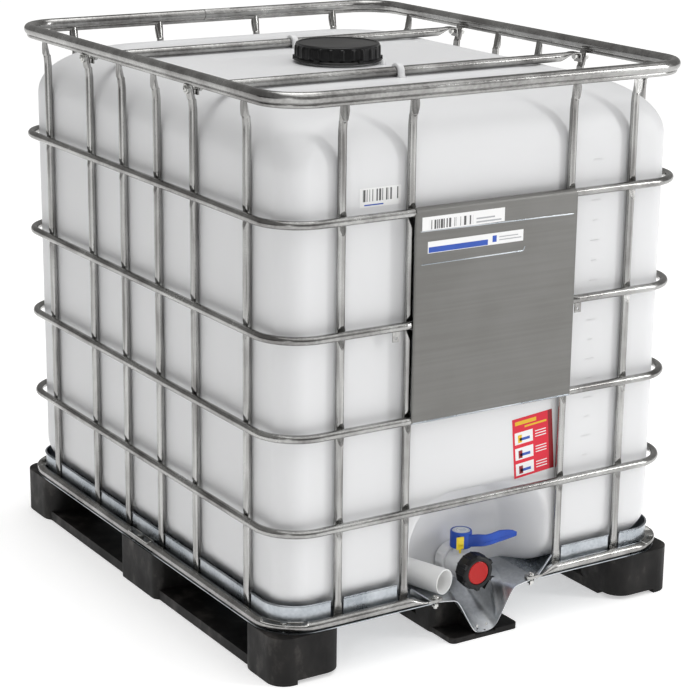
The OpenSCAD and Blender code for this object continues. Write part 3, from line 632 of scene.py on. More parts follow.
def clip_levels(centre, above, below):
    """Rows worth a cross-section around one pressed joint, from its lowest to its highest."""
    low = list(np.arange(centre - below - 2, centre - 8, 1.5))
    high = list(np.arange(centre + 8, centre + above + 2, 1.5))
    return low + [centre - 5, centre, centre + 5] + high


def upright_depth(z, radius, bolted):
    """How far out from the upright's own axis its outward side may reach at height z."""
    limit = radius
    for level in HOOP_LEVELS:
        away = abs(z - level)
        reach = 30 if z < level else 20
        fade = smoothstep(7, reach, away) * 0.3 + 0.7 * clamp((away - 8) / (reach - 8), 0, 1)
        limit = min(limit, radius - PRESS_DEPTH * (1 - fade))
    limit = min(limit, 2.3 + 6.4 * clamp((z - FOOT_RAIL_LEVEL - 12) / 28, 0, 1))
    slope_start = RAIL_LEVEL - LIP_DROP - LIP_R - 32
    if z > slope_start:
        t = min((z - slope_start) / 34, 1.0)
        limit = min(limit, radius - t * (6.0 if bolted else 11.6))
    return limit


def upright_section(radius, limit):
    """Round section cut flat at limit on its outward side, a little wider where it is pressed."""
    bulge = 1 + 0.035 * max(radius - max(limit, -1), 0)
    cut = math.acos(clamp(limit / radius, -0.97, math.cos(math.radians(14))))
    flat_points = 7
    ring = []
    for i in range(flat_points):
        side = radius * math.sin(cut) * (-1 + 2 * i / (flat_points - 1))
        ring.append((min(math.sqrt(max(radius ** 2 - side ** 2, 0)), limit), side * bulge))
    for i in range(1, 22):
        angle = cut + (TAU - 2 * cut) * i / 22
        ring.append((radius * math.cos(angle), radius * math.sin(angle) * bulge))
    return ring


def make_upright(node, place, outward, bolted):
    """place: the point on the hoops' centre line; outward: unit vector away from the container."""
    foot = box_mm(node)[0].z
    inset = 2 * TUBE_R - 4.5
    nx, ny = outward
    levels = [foot, foot + 3, foot + 10] + list(np.arange(foot + 18, foot + 54, 1.5))
    for level in HOOP_LEVELS:
        levels += clip_levels(level, 22, 32)
    levels += list(np.arange(HEAD_START - 16, RAIL_LEVEL - 14, 2.0)) + [RAIL_LEVEL - 12, RAIL_LEVEL - 8]
    rings = []
    for z in sorted(levels):
        up = max(z - HEAD_START, 0.0)
        bend = smoothstep(-HEAD_BEND, HEAD_BEND, z - HEAD_START)
        lean = math.tan(HEAD_LEAN) * (up if z > HEAD_START + HEAD_BEND else HEAD_BEND / 2 * bend * bend)
        radius = TUBE_R - 0.3 * bend
        offset = lean - inset
        rings.append([(place[0] + nx * (a + offset) - ny * b, place[1] + ny * (a + offset) + nx * b, z)
                      for a, b in upright_section(radius, upright_depth(z, radius, bolted))])
    piece = Piece("tube_" + node, POST)
    piece.loft(rings)
    piece.finish("container", "galvanised_tube", node, angle=28)


def make_uprights():
    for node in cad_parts:
        if not node.startswith("upright"):
            continue
        low, high = box_mm(node)
        mid_x, mid_y = (low.x + high.x) / 2, (low.y + high.y) / 2
        if "front" in node:
            make_upright(node, (mid_x, -HOOP_Y), (0, -1), False)
        elif "rear" in node:
            make_upright(node, (mid_x, HOOP_Y), (0, 1), False)
        else:
            side = -1 if "left" in node else 1
            bolted = abs(abs(mid_y) - BAR_Y) < 20
            make_upright(node, (side * HOOP_X, mid_y), (side, 0), bolted)


# ---------------------------------------------------------------- cross bars and fasteners

BAR_Y = (box_mm("cross_bar_rear")[0].y + box_mm("cross_bar_rear")[1].y) / 2
BAR_LEVEL = 1125
BAR_R = 10
BAR_TAB_X = box_mm("cross_bar_rear")[1].x
# The bars rise a little toward their flattened ends, which turn down against the uprights.
BAR_FLAT_X = 420
BAR_RISE = 8.0
BAR_BEND = 7.0


def make_cross_bar(node):
    low, high = box_mm(node)
    y = (low.y + high.y) / 2
    piece = Piece("tube_" + node, TUBE)
    inner = [((x, 0.0), (1.0, 0.0), 0.0) for x in (0, 120, 240, 360, BAR_FLAT_X)]
    for i in range(1, 15):
        t = i / 14
        rise = smoothstep(0, 1, t)
        inner.append(((BAR_FLAT_X + 38 * t, BAR_RISE * rise), (1.0, 0.0), rise))
    for i in range(1, 9):
        angle = math.radians(90 * i / 8)
        x = BAR_TAB_X - 2.2 - BAR_BEND + BAR_BEND * math.sin(angle)
        z = BAR_RISE - BAR_BEND + BAR_BEND * math.cos(angle)
        inner.append(((x, z), (math.cos(angle), -math.sin(angle)), 1.0))
    inner.append(((BAR_TAB_X - 2.2, -12.5), (0.0, -1.0), 1.0))
    rings = []
    for (x, z), (tx, tz), flat in inner:
        ring = []
        for a, b in circle_points(BAR_R, 24):
            across = a * (1 + 0.18 * flat)
            thick = b * (1 - flat) + clamp(b, -1.7, 1.7) * flat
            ring.append((x - tz * thick, across, z + tx * thick))
        rings.append(ring)
    left = [[(-x, a, z) for x, a, z in ring] for ring in rings[1:]][::-1]
    piece.loft([[(x, y + a, BAR_LEVEL + z) for x, a, z in ring] for ring in left + rings])
    piece.finish("container", "galvanised_tube", node, angle=38)


def make_bar_fasteners():
    bolts = Piece("bar_bolts", ZINC, RUBBER)
    nuts = Piece("bar_nuts", ZINC)
    seat = box_mm("cross_bar_bolts")[1].x - 4
    inner = box_mm("cross_bar_nuts")[1].x - 4.2
    washer = [(5.2, -7.5), (10.5, -7.5), (10.5, 0.0), (9.6, 0.6), (6.4, 0.6), (5.2, 0)]
    shank_and_head = [(4, -30), (4, -8), (6.3, -8), (6.3, 1.8), (5.2, 3.2), (2.6, 3.9)]
    for side in (-1, 1):
        for y in (-BAR_Y, BAR_Y):
            axis = (side, 0, 0)
            at = (side * seat, y, BAR_LEVEL)
            bolts.revolve(washer, at, axis, 28, loop=True)
            bolts.revolve(shank_and_head, at, axis, 24)
            bolts.revolve([(2.4, 3.6), (2.4, 3.97)], at, axis, 6, slot=1)
            nuts.revolve([(7.5, -7), (7.5, 0)], (side * inner, y, BAR_LEVEL), axis, 6)
    bolts.finish("container", "zinc_fastener", "cross_bar_bolts", bevel=0.2)
    nuts.finish("container", "zinc_fastener", "cross_bar_nuts", bevel=0.6)


def make_foot_bolts():
    piece = Piece("rail_bolts", ZINC)
    low, high = box_mm("foot_bolts")
    seat = high.z - 5
    shank_and_washer = [(4, low.z - seat), (4, -0.5), (6.2, -0.3), (6.2, 1.4), (5.0, 1.5)]
    for x, y in foot_bolt_places():
        piece.revolve(shank_and_washer, (x, y, seat), (0, 0, 1), 24)
        piece.revolve([(6.8, 1.5), (7.5, 2.0), (7.5, 4.2), (6.6, 4.9)], (x, y, seat), (0, 0, 1), 6)
    piece.finish("container", "zinc_fastener", "foot_bolts", bevel=0.3)


# ---------------------------------------------------------------- bottle

BOTTLE_LOW, BOTTLE_HIGH = box_mm("bottle")
BODY_X = BOTTLE_HIGH.x - 0.8
BODY_Y = BOTTLE_HIGH.y - 0.8
BODY_FOOT = BOTTLE_LOW.z
BODY_TOP = 1113.6
# Radii of the body's foot, shoulders and upright corners.
FOOT_R = 88
SHOULDER_R = 108
CORNER_R = 54
# The arched recess in the front round the outlet.
RECESS_HALF = 178
RECESS_TOP = 327
RECESS_ARCH = 118
RECESS_BACK = -456.5
RECESS_SLOPE = 52
RECESS_STEPS_X = 190
NECK_R = 80
# The flat top is lower outside the bars and toward its sides, and has two shallow grooves.
TOP_DROP = 3.5
GROOVE_DEPTH = 2.0
GROOVE_Y = 150
STOP_R = 104
STOP_ANGLE = math.radians(-52)
# Filling level marks: place along X, lowest mark, pitch and count.
MARK_X = 268
MARK_LOWEST = 300
MARK_PITCH = 42
MARKS = 17
# Place along X of the hook on each bar, and which bar.
BAR_HOOKS = ((0, -1), (26, 1))


def body_inset(z):
    """How far the sides draw in at height z, and how much the upright corners open out there."""
    if z < BODY_FOOT + FOOT_R:
        d = BODY_FOOT + FOOT_R - z
        inset = FOOT_R - math.sqrt(max(FOOT_R ** 2 - d ** 2, 0))
        return inset, 0.35 * inset
    if z > BODY_TOP - SHOULDER_R:
        d = z - BODY_TOP + SHOULDER_R
        inset = SHOULDER_R - math.sqrt(max(SHOULDER_R ** 2 - d ** 2, 0))
        return inset, 0.95 * inset
    return 0.0, 0.0


def recess_mask(x, z):
    """1 inside the recess round the outlet, 0 outside, with sloping sides between."""
    cx = max(abs(x) - (RECESS_HALF - RECESS_ARCH), 0)
    cz = max(z - (RECESS_TOP - RECESS_ARCH), 0)
    depth = RECESS_ARCH - math.hypot(cx, cz)
    return smoothstep(0, RECESS_SLOPE, depth)


def body_outline(z):
    """Points round the body at height z; the front has fine steps for the recess."""
    inset, opening = body_inset(z)
    hx, hy = BODY_X - inset, BODY_Y - inset
    r = CORNER_R + opening
    fine = list(np.linspace(-RECESS_STEPS_X, RECESS_STEPS_X, 77))
    left = list(np.linspace(r - hx, -RECESS_STEPS_X, 6))[:-1]
    points = [(x, -hy) for x in left + fine + [-x for x in left[::-1]]]
    for cx, cy, start in corner_centres(hx, hy, r):
        if start in (0, 180):
            sign = 1 if start == 0 else -1
            points += [(sign * hx, sign * y) for y in np.linspace(-hy + r, hy - r, 12)[1:-1]]
        if start == 90:
            points += [(x, hy) for x in np.linspace(hx - r, -hx + r, 12)[1:-1]]
        arc = arc_points(cx, cy, r, start, start + 90, 15)
        points += arc[1:] if start == -90 else arc[:-1] if start == 180 else arc
    ring = []
    for x, y in points:
        if y < -300:
            mask = recess_mask(x, z)
            y = y + max(RECESS_BACK - y, 0) * mask
        ring.append((x, y, z))
    return ring


def body_levels():
    levels = [BODY_FOOT + FOOT_R * (1 - math.cos(math.radians(a))) for a in (0, 8, 16, 24, 32, 40)]
    levels += list(np.arange(levels[-1] + 5, RECESS_TOP + 12, 5))
    levels += list(np.linspace(RECESS_TOP + 30, BODY_TOP - SHOULDER_R, 10))
    levels += [BODY_TOP - SHOULDER_R * (1 - math.sin(math.radians(a))) for a in range(5, 91, 5)]
    return levels


def top_relief(x, y):
    """Gentle moulded steps in the flat top, lower outside the bars and along two grooves."""
    outside = smoothstep(BAR_Y + 22, BAR_Y + 46, abs(y))
    side = smoothstep(330, 356, abs(x))
    groove = math.exp(-((abs(y) - GROOVE_Y) / 7) ** 2) * (1 - smoothstep(300, 330, abs(x)))
    return -TOP_DROP * max(outside, side) - GROOVE_DEPTH * groove


def make_bottle():
    piece = Piece("blown_bottle", BOTTLE)
    rings = [body_outline(z) for z in body_levels()]
    last = rings[-1]
    spans = 40
    for k in range(1, spans):
        t = k / spans
        ring = []
        for x, y, z in last:
            size = math.hypot(x, y)
            px, py = x + (NECK_R * x / size - x) * t, y + (NECK_R * y / size - y) * t
            ring.append((px, py, z + top_relief(px, py) * smoothstep(0, 0.08, t)))
        rings.append(ring)
    neck = ((NECK_R + 6, BODY_TOP), (NECK_R + 1.5, BODY_TOP + 1.2), (NECK_R, BODY_TOP + 5), (NECK_R, 1131),
            (NECK_R + 2, 1132), (NECK_R + 2, 1135), (NECK_R, 1136), (NECK_R, 1146.5), (75.5, 1147),
            (75.0, 1146), (75.0, 1100), (90, 1090))
    for radius, z in neck:
        rings.append([(radius * x / math.hypot(x, y), radius * y / math.hypot(x, y), z) for x, y, _ in last])
    piece.loft(rings, caps=(True, False))
    piece.revolve([(30, 0), (30, -24), (25, -24), (25, 10)], (0, RECESS_BACK + 1, OUTLET_Z), (0, 1, 0), 48)
    for x, sign in BAR_HOOKS:
        add_bar_hook(piece, x, sign * BAR_Y)
    add_lid_stop(piece)
    add_level_marks(piece)
    piece.finish("container", "bottle_white", "bottle", angle=48)


def add_bar_hook(piece, x, y):
    """Moulded saddle that holds the cross bar down, wider at its foot."""
    outline = arc_points(0, 0, 17, 0, 180, 13)
    outline += [(-17.5, -6), (-22, -13), (-11.2, -13), (-10.9, 0)]
    outline += arc_points(0, 0, 10.9, 180, 0, 13)[1:]
    outline += [(11.2, -13), (22, -13), (17.5, -6)]
    rings = []
    for dx, grow in ((-7, 0.94), (-6, 1.0), (6, 1.0), (7, 0.94)):
        rings.append([(x + dx, y + a * grow, BAR_LEVEL + b * grow) for a, b in outline])
    piece.loft(rings)


def spokes(angle):
    """Unit vectors away from the Z axis and sideways, at one angle."""
    out = Vector((math.cos(angle), math.sin(angle), 0))
    return out, Vector((-out.y, out.x, 0))


def add_lid_stop(piece):
    """Small moulded post beside the lid."""
    out, side = spokes(STOP_ANGLE)
    rings = []
    for up, a, b in ((-3, 6.4, 7.4), (4, 5.2, 6.2), (9, 4.4, 5.2), (11, 2.4, 3.4)):
        centre = out * STOP_R + Vector((0, 0, BODY_TOP + up))
        rings.append([centre + out * (a * u) + side * (b * v) for u, v in circle_points(1, 16)])
    piece.loft(rings)


def add_level_marks(piece):
    """Low raised ticks that show the filling level, on the front between two uprights."""
    for i in range(MARKS):
        z = MARK_LOWEST + MARK_PITCH * i
        half = 11 if i % 2 == 0 else 6
        piece.block((MARK_X - half, -BODY_Y - 0.5, z - 1.0), (MARK_X + half, -BODY_Y + 1.0, z + 1.0))


# ---------------------------------------------------------------- label plate and stickers

# Half the width over which the plate's top wraps right round the hoop, and the sheet.
PLATE_FOLD_HALF = 182
PLATE_T = 1.2
HEM_R = 2.4
# Embossed lines, each from (x, z) to (x, z), and their low rounded section (across, out).
PLATE_LINES = (((-185, 878.6), (186, 874.5)), ((-182, 813), (62, 813)), ((62, 813), (66, 822)))
LINE_SECTION = ((-1.8, -0.4), (-0.9, 0.12), (0, 0.2), (0.9, 0.12), (1.8, -0.4))


def make_label_plate():
    low, high = box_mm("label_plate")
    level = HOOP_LEVELS[0]
    front = low.y
    outer_r = -HOOP_Y - front
    inner_r = outer_r - PLATE_T
    half = high.x
    # Slot 1, the lighter sheet material, paints light on the plate's hem, side returns and embossed lines.
    piece = Piece("steel_label_plate", PLATE, SHEET)
    for reach, wrap in ((half - 3, 90), (PLATE_FOLD_HALF, 0)):
        outside = [(front + 1.0, low.z + 4), (front, low.z + 12)] if wrap else []
        outside += arc_points(-HOOP_Y, level, outer_r, 180 if wrap else 90, wrap, 9)
        inside = arc_points(-HOOP_Y, level, inner_r, wrap, 180 if wrap else 90, 9)
        if wrap:
            inside += [(front + PLATE_T, low.z + 12), (front + PLATE_T + 1.0, low.z + 4)]
        profile = outside + inside
        xs = [-reach, -reach + 2] + list(np.linspace(-reach + 17, reach - 17, 9)) + [reach - 2, reach]
        piece.loft([[(x, y, z) for y, z in profile] for x in xs])
    for side in (-1, 1):
        x = side * (half - HEM_R)
        rolled = [[(x + a, front + 2.5 + b, z) for a, b in circle_points(HEM_R, 14)]
                  for z in (low.z + 3, low.z + 5, level - 2, level)]
        piece.loft(rolled)
        # The return behind each rolled edge covers the shaded gap beside the upright and takes the lighter
        # sheet material: painted light where shade falls.
        piece.block((min(x, x - side), front + 1, low.z + 5), (max(x, x - side), front + 7, level - 12), 1)
    # The rolled hem takes the lighter sheet material as a painted highlight.
    hem = [[(x, front + HEM_R + a, low.z + HEM_R + b) for a, b in circle_points(HEM_R - 0.1, 14)]
           for x in (-half + 1, -half + 3, half - 3, half - 1)]
    piece.loft(hem, slot=1)
    # The embossed lines take the lighter sheet material as a painted highlight on their ridges.
    for (x0, z0), (x1, z1) in PLATE_LINES:
        length = math.dist((x0, z0), (x1, z1))
        nx, nz = -(z1 - z0) / length, (x1 - x0) / length
        rings = []
        for t, w in ((0, 0.2), (0.01, 1), (0.99, 1), (1, 0.2)):
            x, z = x0 + (x1 - x0) * t, z0 + (z1 - z0) * t
            rings.append([(x + nx * a * w, front - b * w, z + nz * a * w) for a, b in LINE_SECTION])
        piece.loft(rings, slot=1)
    piece.finish("container", "label_steel", "label_plate", angle=40)


def bar_code_material():
    look = Look("printed_bars")
    look.set(Roughness=0.4)
    stripes = look.noise(330.0, 0.0, (1, 0.001, 0.001))
    dark = look.math("GREATER_THAN", stripes, 0.5)
    look.colour(look.ramp(dark, (0.0, (0.88, 0.88, 0.88)), (1.0, (0.09, 0.09, 0.09))))
    return look.material


def plain_film(name, colour):
    shade = tuple(0.9 * c for c in colour)
    return plastic(name, shade, colour, (0.28, 0.36), 800, 0.03, 12.0, shine=0.36)


# Stickers on the label plate: x and z of two corners, layer, material.
PLATE_TAGS = (
    (-181, 878.5, 14, 906, 0, 0), (-166, 881, -62, 899, 1, 2), (-54, 882, 6, 885, 1, 3),
    (-54, 889, -10, 892, 1, 3), (-167, 834, 61, 857, 0, 0), (-165, 835, -25, 846, 1, 1),
    (-14, 839, -4, 852, 1, 1), (2, 841, 56, 843, 1, 3), (2, 847, 48, 849, 1, 3),
)
# The small sticker on the bottle, and the red card, which hangs a little askew.
BOTTLE_TAGS = (
    (-303, 931, -210, 968, 0, 0), (-297, 942, -215, 965, 1, 1), (-293, 934, -250, 936.5, 1, 5),
)
CARD_TAGS = (
    (-51, -65, 51, 65, 0, 2), (40, -65, 51, 65, 1, 4), (-44, 50, 10, 58, 1, 3), (-20, 42, 36, 46, 1, 3),
)
CARD_ROWS = (20, -14, -48)
CARD_AT = (130, 389)
CARD_TURN = math.radians(5)


def make_stickers():
    bars = bar_code_material()
    blue = plain_film("film_blue", (0.03, 0.10, 0.50))
    grey = plain_film("film_grey", (0.45, 0.46, 0.48))
    front = box_mm("label_plate")[0].y
    piece = Piece("plate_labels", FILM, blue, bars, grey)
    for x0, z0, x1, z1, layer, slot in PLATE_TAGS:
        y = front - 0.02 - 0.07 * layer
        piece.block((x0, y - 0.1, z0), (x1, front + 0.3, z1), slot)
    piece.finish("container", "printed_film", "plate_stickers")

    red = plain_film("film_red", (0.78, 0.012, 0.04))
    dark = plain_film("film_dark_red", (0.30, 0.008, 0.015))
    yellow = plain_film("film_yellow", (0.90, 0.55, 0.02))
    other = Piece("bottle_labels", FILM, bars, red, yellow, dark, blue)

    def stick(x0, z0, x1, z1, layer, slot, turn=0.0, centre=(0, 0)):
        y = -BODY_Y - 0.2 - 0.1 * layer
        c, s = math.cos(turn), math.sin(turn)
        outline = [(centre[0] + x * c - z * s, y, centre[1] + x * s + z * c)
                   for x, z in ((x0, z0), (x1, z0), (x1, z1), (x0, z1))]
        other.prism(outline, (0, 0, 0), (0, 0.1 + 0.1 * layer, 0), slot)

    for tag in BOTTLE_TAGS:
        stick(*tag)
    tags = list(CARD_TAGS)
    for row in CARD_ROWS:
        tags += [(-46, row - 12, 0, row + 14, 1, 0), (-34, row - 5, -8, row + 1, 2, 5),
                 (-38, row - 9, -28, row + 8, 2, 3 if row > 0 else 4)]
        tags += [(6, row + line, 34, row + line + 2, 1, 0) for line in (6, 0, -6)]
    for tag in tags:
        stick(*tag, CARD_TURN, CARD_AT)
    other.finish("container", "printed_film", "bottle_stickers")


# ---------------------------------------------------------------- lid

LID_GRIPS = 24
LID_TABS = 6
LID_PROFILE = [
    (84, 0), (95.5, 0), (96.5, 1.2), (96.5, 4), (95, 5), (92.6, 6), (92.4, 9), (92.2, 12), (92.2, 26),
    (92.0, 30), (91.6, 32.5), (90.6, 34.6), (89, 36), (86, 36.5), (84.6, 35.8), (84, 34.8), (60, 34.6),
    (30, 34.5), (2, 34.5),
]


def make_lid():
    low, high = box_mm("lid")
    tall = high.z - low.z

    def wave(angle, radius, along):
        """Raised grips round the side wall, fading out above the skirt and below the top edge."""
        phase = (angle * LID_GRIPS / TAU) % 1.0
        bump = smoothstep(0.0, 0.16, phase) * (1 - smoothstep(0.34, 0.5, phase))
        if 3.0 < along < tall - 3 and radius > 90:
            return radius - 1.8 + 3.2 * bump * smoothstep(6, 9, along) * (1 - smoothstep(29, 33, along))
        return radius

    piece = Piece("ribbed_lid", LID_BLACK)
    piece.revolve(LID_PROFILE, (0, 0, low.z), (0, 0, 1), LID_GRIPS * 10, wave=wave)
    for i in range(LID_TABS):
        out, side = spokes(TAU * (i + 0.5) / LID_TABS)
        outline = [out * r + side * w for r, w in ((93, -7), (96.9, -5.5), (96.9, 5.5), (93, 7))]
        piece.prism(outline, (0, 0, low.z + 0.2), (0, 0, low.z + 9))
    piece.finish("lid_ring", "lid_black", "lid", angle=32)


# ---------------------------------------------------------------- outlet

UP = (0, 0, 1)
BACK = (0, 1, 0)


def rounded_box(piece, low, high, radius):
    """Block with rounded upright corners."""
    (x0, y0, z0), (x1, y1, z1) = low, high
    outline = []
    for cx, cy, start in ((x1 - radius, y1 - radius, 0), (x0 + radius, y1 - radius, 90),
                          (x0 + radius, y0 + radius, 180), (x1 - radius, y0 + radius, 270)):
        outline += [(x, y, 0) for x, y in arc_points(cx, cy, radius, start, start + 90, 5)]
    piece.prism(outline, (0, 0, z0), (0, 0, z1))


def make_outlet_nut():
    low, high = box_mm("outlet_nut")
    piece = Piece("union_nut", WHITE)
    length = high.y - low.y

    def wave(angle, radius, along):
        if radius < 35 or along < 3 or along > length - 3:
            return radius
        return radius + 1.2 * smoothstep(0.2, 0.75, math.cos(12 * angle))

    profile = [(30.4, 0), (34.5, 0), (36, 1.6), (36, 3.2), (36, 8), (36, length - 8), (36, length - 3.2),
               (35.6, length - 1.2), (34, length), (30.4, length)]
    piece.revolve(profile, (0, low.y, OUTLET_Z), BACK, 144, wave=wave, loop=True)
    piece.finish("container", "valve_white", "outlet_nut", angle=40)


def make_valve_body():
    low, high = box_mm("valve_body")
    stem = (0, STEM_Y, 0)
    piece = Piece("valve_tube", WHITE)
    tube = [(25.0, 0), (29.0, 0), (29.6, 1), (29.6, 24), (29.2, 25), (29.2, 27), (29.6, 28), (29.6, 70),
            (31, 71), (31, 75), (25.0, 75), (25.0, 60), (25.0, 20)]
    tower = [(18, OUTLET_Z + 20), (16.5, OUTLET_Z + 27), (14.6, OUTLET_Z + 30), (14.0, high.z - 1.6),
             (13.0, high.z - 0.4), (5.2, high.z - 0.4), (5.2, OUTLET_Z + 24)]
    foot = [(5, low.z), (8.4, low.z), (9, low.z + 1), (9.6, OUTLET_Z - 26)]
    piece.revolve(tube, (0, low.y, OUTLET_Z), BACK, 64, loop=True)
    piece.revolve(tower, stem, UP, 48)
    piece.revolve(foot, stem, UP, 32)
    web = ((-15, 24), (15, 24), (13.6, 33), (-13.6, 33))
    for side in (-1, 1):
        outline = [(side * 4, STEM_Y + y, OUTLET_Z + z) for y, z in web]
        piece.prism(outline, (side * -1.2, 0, 0), (side * 1.2, 0, 0))
    piece.finish("container", "valve_white", "valve_body", angle=38)


# The lever's arm: x and distance from the stem of its front and back edges, and its lower and
# upper heights above the hub's foot.
ARM = (
    ((4, -20), (2, -22), 4.6, 30), ((13, -22.5), (9, -28), 4.8, 30.6),
    ((22, -27.5), (17, -33.5), 5.6, 31.4), ((29, -34), (24, -38.6), 6.0, 31.6),
    ((36, -37.8), (34, -41.6), 6.4, 31.0), ((50, -38.0), (50, -42), 7.0, 31.4),
    ((70, -38.1), (70, -42), 9.2, 34.4), ((90, -38.1), (90, -42), 11.0, 32.0),
    ((104, -38.2), (104, -41.8), 12.6, 28.4), ((112, -38.2), (112, -41.8), 13.4, 24.0),
    ((114, -38.8), (114, -41.2), 14.6, 22.6),
)
ARM_EDGE = 0.9
HUB_FLAT_Y = -18.0
HUB_STEPS = 96


def arm_section(front, back, base, low, high):
    """Bevelled rectangle across the arm."""
    def point(share, z):
        x, y = (a * (1 - share) + b * share for a, b in zip(front, back))
        return x, STEM_Y + y, base + z

    return [point(0, low + ARM_EDGE), point(0, high - ARM_EDGE), point(0.2, high), point(0.8, high),
            point(1, high - ARM_EDGE), point(1, low + ARM_EDGE), point(0.8, low), point(0.2, low)]


def make_lever():
    low, high = box_mm("lever")
    base = low.z
    tall = high.z - base
    piece = Piece("dog_leg_lever", BLUE)
    hub = [(17, 0.2), (22.0, 0.2), (23, 1.2), (23, tall - 3), (22.6, tall - 1.2), (21.6, tall),
           (19.4, tall), (18.7, tall - 1), (18.6, tall - 2.2)]
    rings = []
    for radius, along in hub:
        ring = []
        for x, y in circle_points(radius, HUB_STEPS):
            if -24 < x < -8 and along < tall - 3.5 and y < HUB_FLAT_Y:
                y = HUB_FLAT_Y
            ring.append((x, STEM_Y + y, base + along))
        rings.append(ring)
    piece.loft(rings)
    piece.loft([arm_section(front, back, base, z0, min(z1, tall)) for front, back, z0, z1 in ARM])
    rib = ((30, -42, 14), (60, -42, 16), (108, -41.8, 20.4))
    section = ((0.5, -1.1), (-0.7, -0.5), (-0.7, 0.5), (0.5, 1.1))
    piece.loft([[(x, STEM_Y + y + a, base + z + b) for a, b in section] for x, y, z in rib])
    hook = ((16.4, -15.5), (23.5, -9), (24.6, -12), (18.5, -18.4))
    piece.prism([(x, STEM_Y + y, base - 0.2) for x, y in hook], (0, 0, 0.4), (0, 0, 7))
    piece.finish("lever_set", "lever_blue", "lever", angle=34)


def make_lever_disc():
    look = Look("printed_disc")
    look.set(Roughness=0.42)
    spot = look.add("TexVoronoi", Scale=170.0)
    look.link(look.coords, spot.inputs["Vector"])
    look.colour(look.ramp(look.math("ADD", look.noise(50.0, 3.0), spot.outputs["Distance"]),
                          (0.45, (0.20, 0.30, 0.50)), (0.75, (0.56, 0.60, 0.66))))
    base = box_mm("lever_disc")[0].z
    at = (0, STEM_Y, base)
    piece = Piece("lever_top_disc", look.material, WHITE, BLUE)
    piece.revolve([(18.5, 0), (18.5, 1.4), (18.0, 1.7), (13.2, 1.7)], at, UP, 64)
    piece.revolve([(13.2, 1.4), (13.2, 1.95), (12.2, 1.95), (12.2, 1.4)], at, UP, 64, slot=1, loop=True)
    arrow = ((8.6, 0.0), (8.6, 0.55), (8.6, 1.1), (10.4, 1.1), (7.4, 1.5), (4.6, 1.1), (6.4, 1.1),
             (6.4, 0.55), (6.4, 0.0))
    for turn in (0.4, 2.2):
        outline = [(r * math.cos(turn + a), STEM_Y + r * math.sin(turn + a), base + 1.5) for r, a in arrow]
        piece.prism(outline, (0, 0, 0), (0, 0, 0.45), slot=1)
    piece.finish("lever_set", "disc_grey", "lever_disc")


def make_clip():
    low, high = box_mm("tamper_clip")
    piece = Piece("yellow_clip", YELLOW)
    mid = (low.x + high.x) / 2
    rounded_box(piece, (low.x - 1.6, low.y, low.z + 9), (high.x + 1.6, high.y, high.z), 1.3)
    shoulder, step = high.z - 10, low.z + 12
    tongue = ((-3, shoulder), (3, shoulder), (3, step), (1.6, low.z), (-1.6, low.z), (-3, step))
    piece.prism([(mid + x, low.y, z) for x, z in tongue], (0, 0.1, 0), (0, high.y - low.y - 0.1, 0))
    piece.block((low.x + 2, low.y, low.z + 16), (high.x - 2, low.y + 1.2, low.z + 18.5))
    piece.finish("clip", "clip_yellow", "tamper_clip", bevel=0.5)


CAP_RIDGES = 12
CAP_LUGS = 6


def make_outlet_cap():
    low, high = box_mm("outlet_cap")
    length = high.y - low.y
    piece = Piece("ribbed_cap", LID_BLACK)

    def wave(angle, radius, along):
        """Broad ridges with fine knurling over them."""
        if radius < 34 or along < 3:
            return radius
        ridge = smoothstep(0.72, 0.95, math.cos(CAP_RIDGES * angle))
        fine = 0.35 * math.cos(8 * CAP_RIDGES * angle)
        return min(radius + 1.3 * ridge * smoothstep(3, 6, along) + fine, 38.9)

    profile = [(25.4, 9), (25.4, 1.0), (26.2, 0.2), (30, 0), (33, 0.8), (35.2, 2.6), (36.4, 5.0),
               (36.8, 8), (36.9, 24), (36.9, 29), (36.4, 31), (35, length), (31, length),
               (30.4, length - 1), (30.4, 9.5)]
    piece.revolve(profile, (0, low.y, OUTLET_Z), BACK, 24 * CAP_RIDGES, wave=wave, loop=True)
    base = Vector((0, low.y + 1.8, OUTLET_Z))
    for i in range(CAP_LUGS):
        angle = TAU * i / CAP_LUGS
        out = Vector((math.sin(angle), 0, math.cos(angle)))
        side = Vector((out.z, 0, -out.x))
        outline = [base + out * r + side * w for r, w in ((33, -5.4), (39.2, -4.2), (39.2, 4.2), (33, 5.4))]
        piece.prism(outline, (0, -0.6, 0), (0, 8, 0))
    piece.finish("cap_ring", "lid_black", "outlet_cap", angle=36)


def make_cap_disc():
    front = box_mm("cap_disc")[0].y
    piece = Piece("red_cap_disc", RED)
    profile = [(0.6, 0.9), (12, 0.7), (20, 0.35), (22.4, 0.0), (23.6, 0.1), (24.5, 0.7), (24.7, 1.6),
               (24.7, 7.4), (29.7, 7.5), (29.7, 9.9)]
    piece.revolve(profile, (0, front, OUTLET_Z), BACK, 96)
    piece.finish("cap_core", "disc_red", "cap_disc", angle=30)


SPOUT_TURN = math.radians(18)
SPOUT_FRONT = (-87, -572)


def make_spout():
    axis = Vector((-math.sin(SPOUT_TURN), math.cos(SPOUT_TURN), 0))
    low, high = box_mm("spout_tube")
    front = Vector((*SPOUT_FRONT, (low.z + high.z) / 2))
    piece = Piece("loose_spout", SPOUT)
    profile = [(24.2, 0.8), (24.8, 0.1), (26.2, 0.1), (27, 0.9), (27, 40), (26.9, 70), (27, 107),
               (26.4, 107.9), (24.4, 107.9), (24.0, 107), (24.0, 60), (24.0, 20)]
    piece.revolve(profile, front, axis, 72, loop=True)
    piece.finish("spout", "spout_white", "spout_tube", angle=40)


# ---------------------------------------------------------------- floor tray and chute

TRAY_LOW, TRAY_HIGH = box_mm("floor_tray")
TRAY_Z = TRAY_LOW.z
TRAY_T = 2
TRAY_X = TRAY_HIGH.x - 20
TRAY_Y = TRAY_HIGH.y - 20
TRAY_BEND = 75
TRAY_CORNER_R = 98
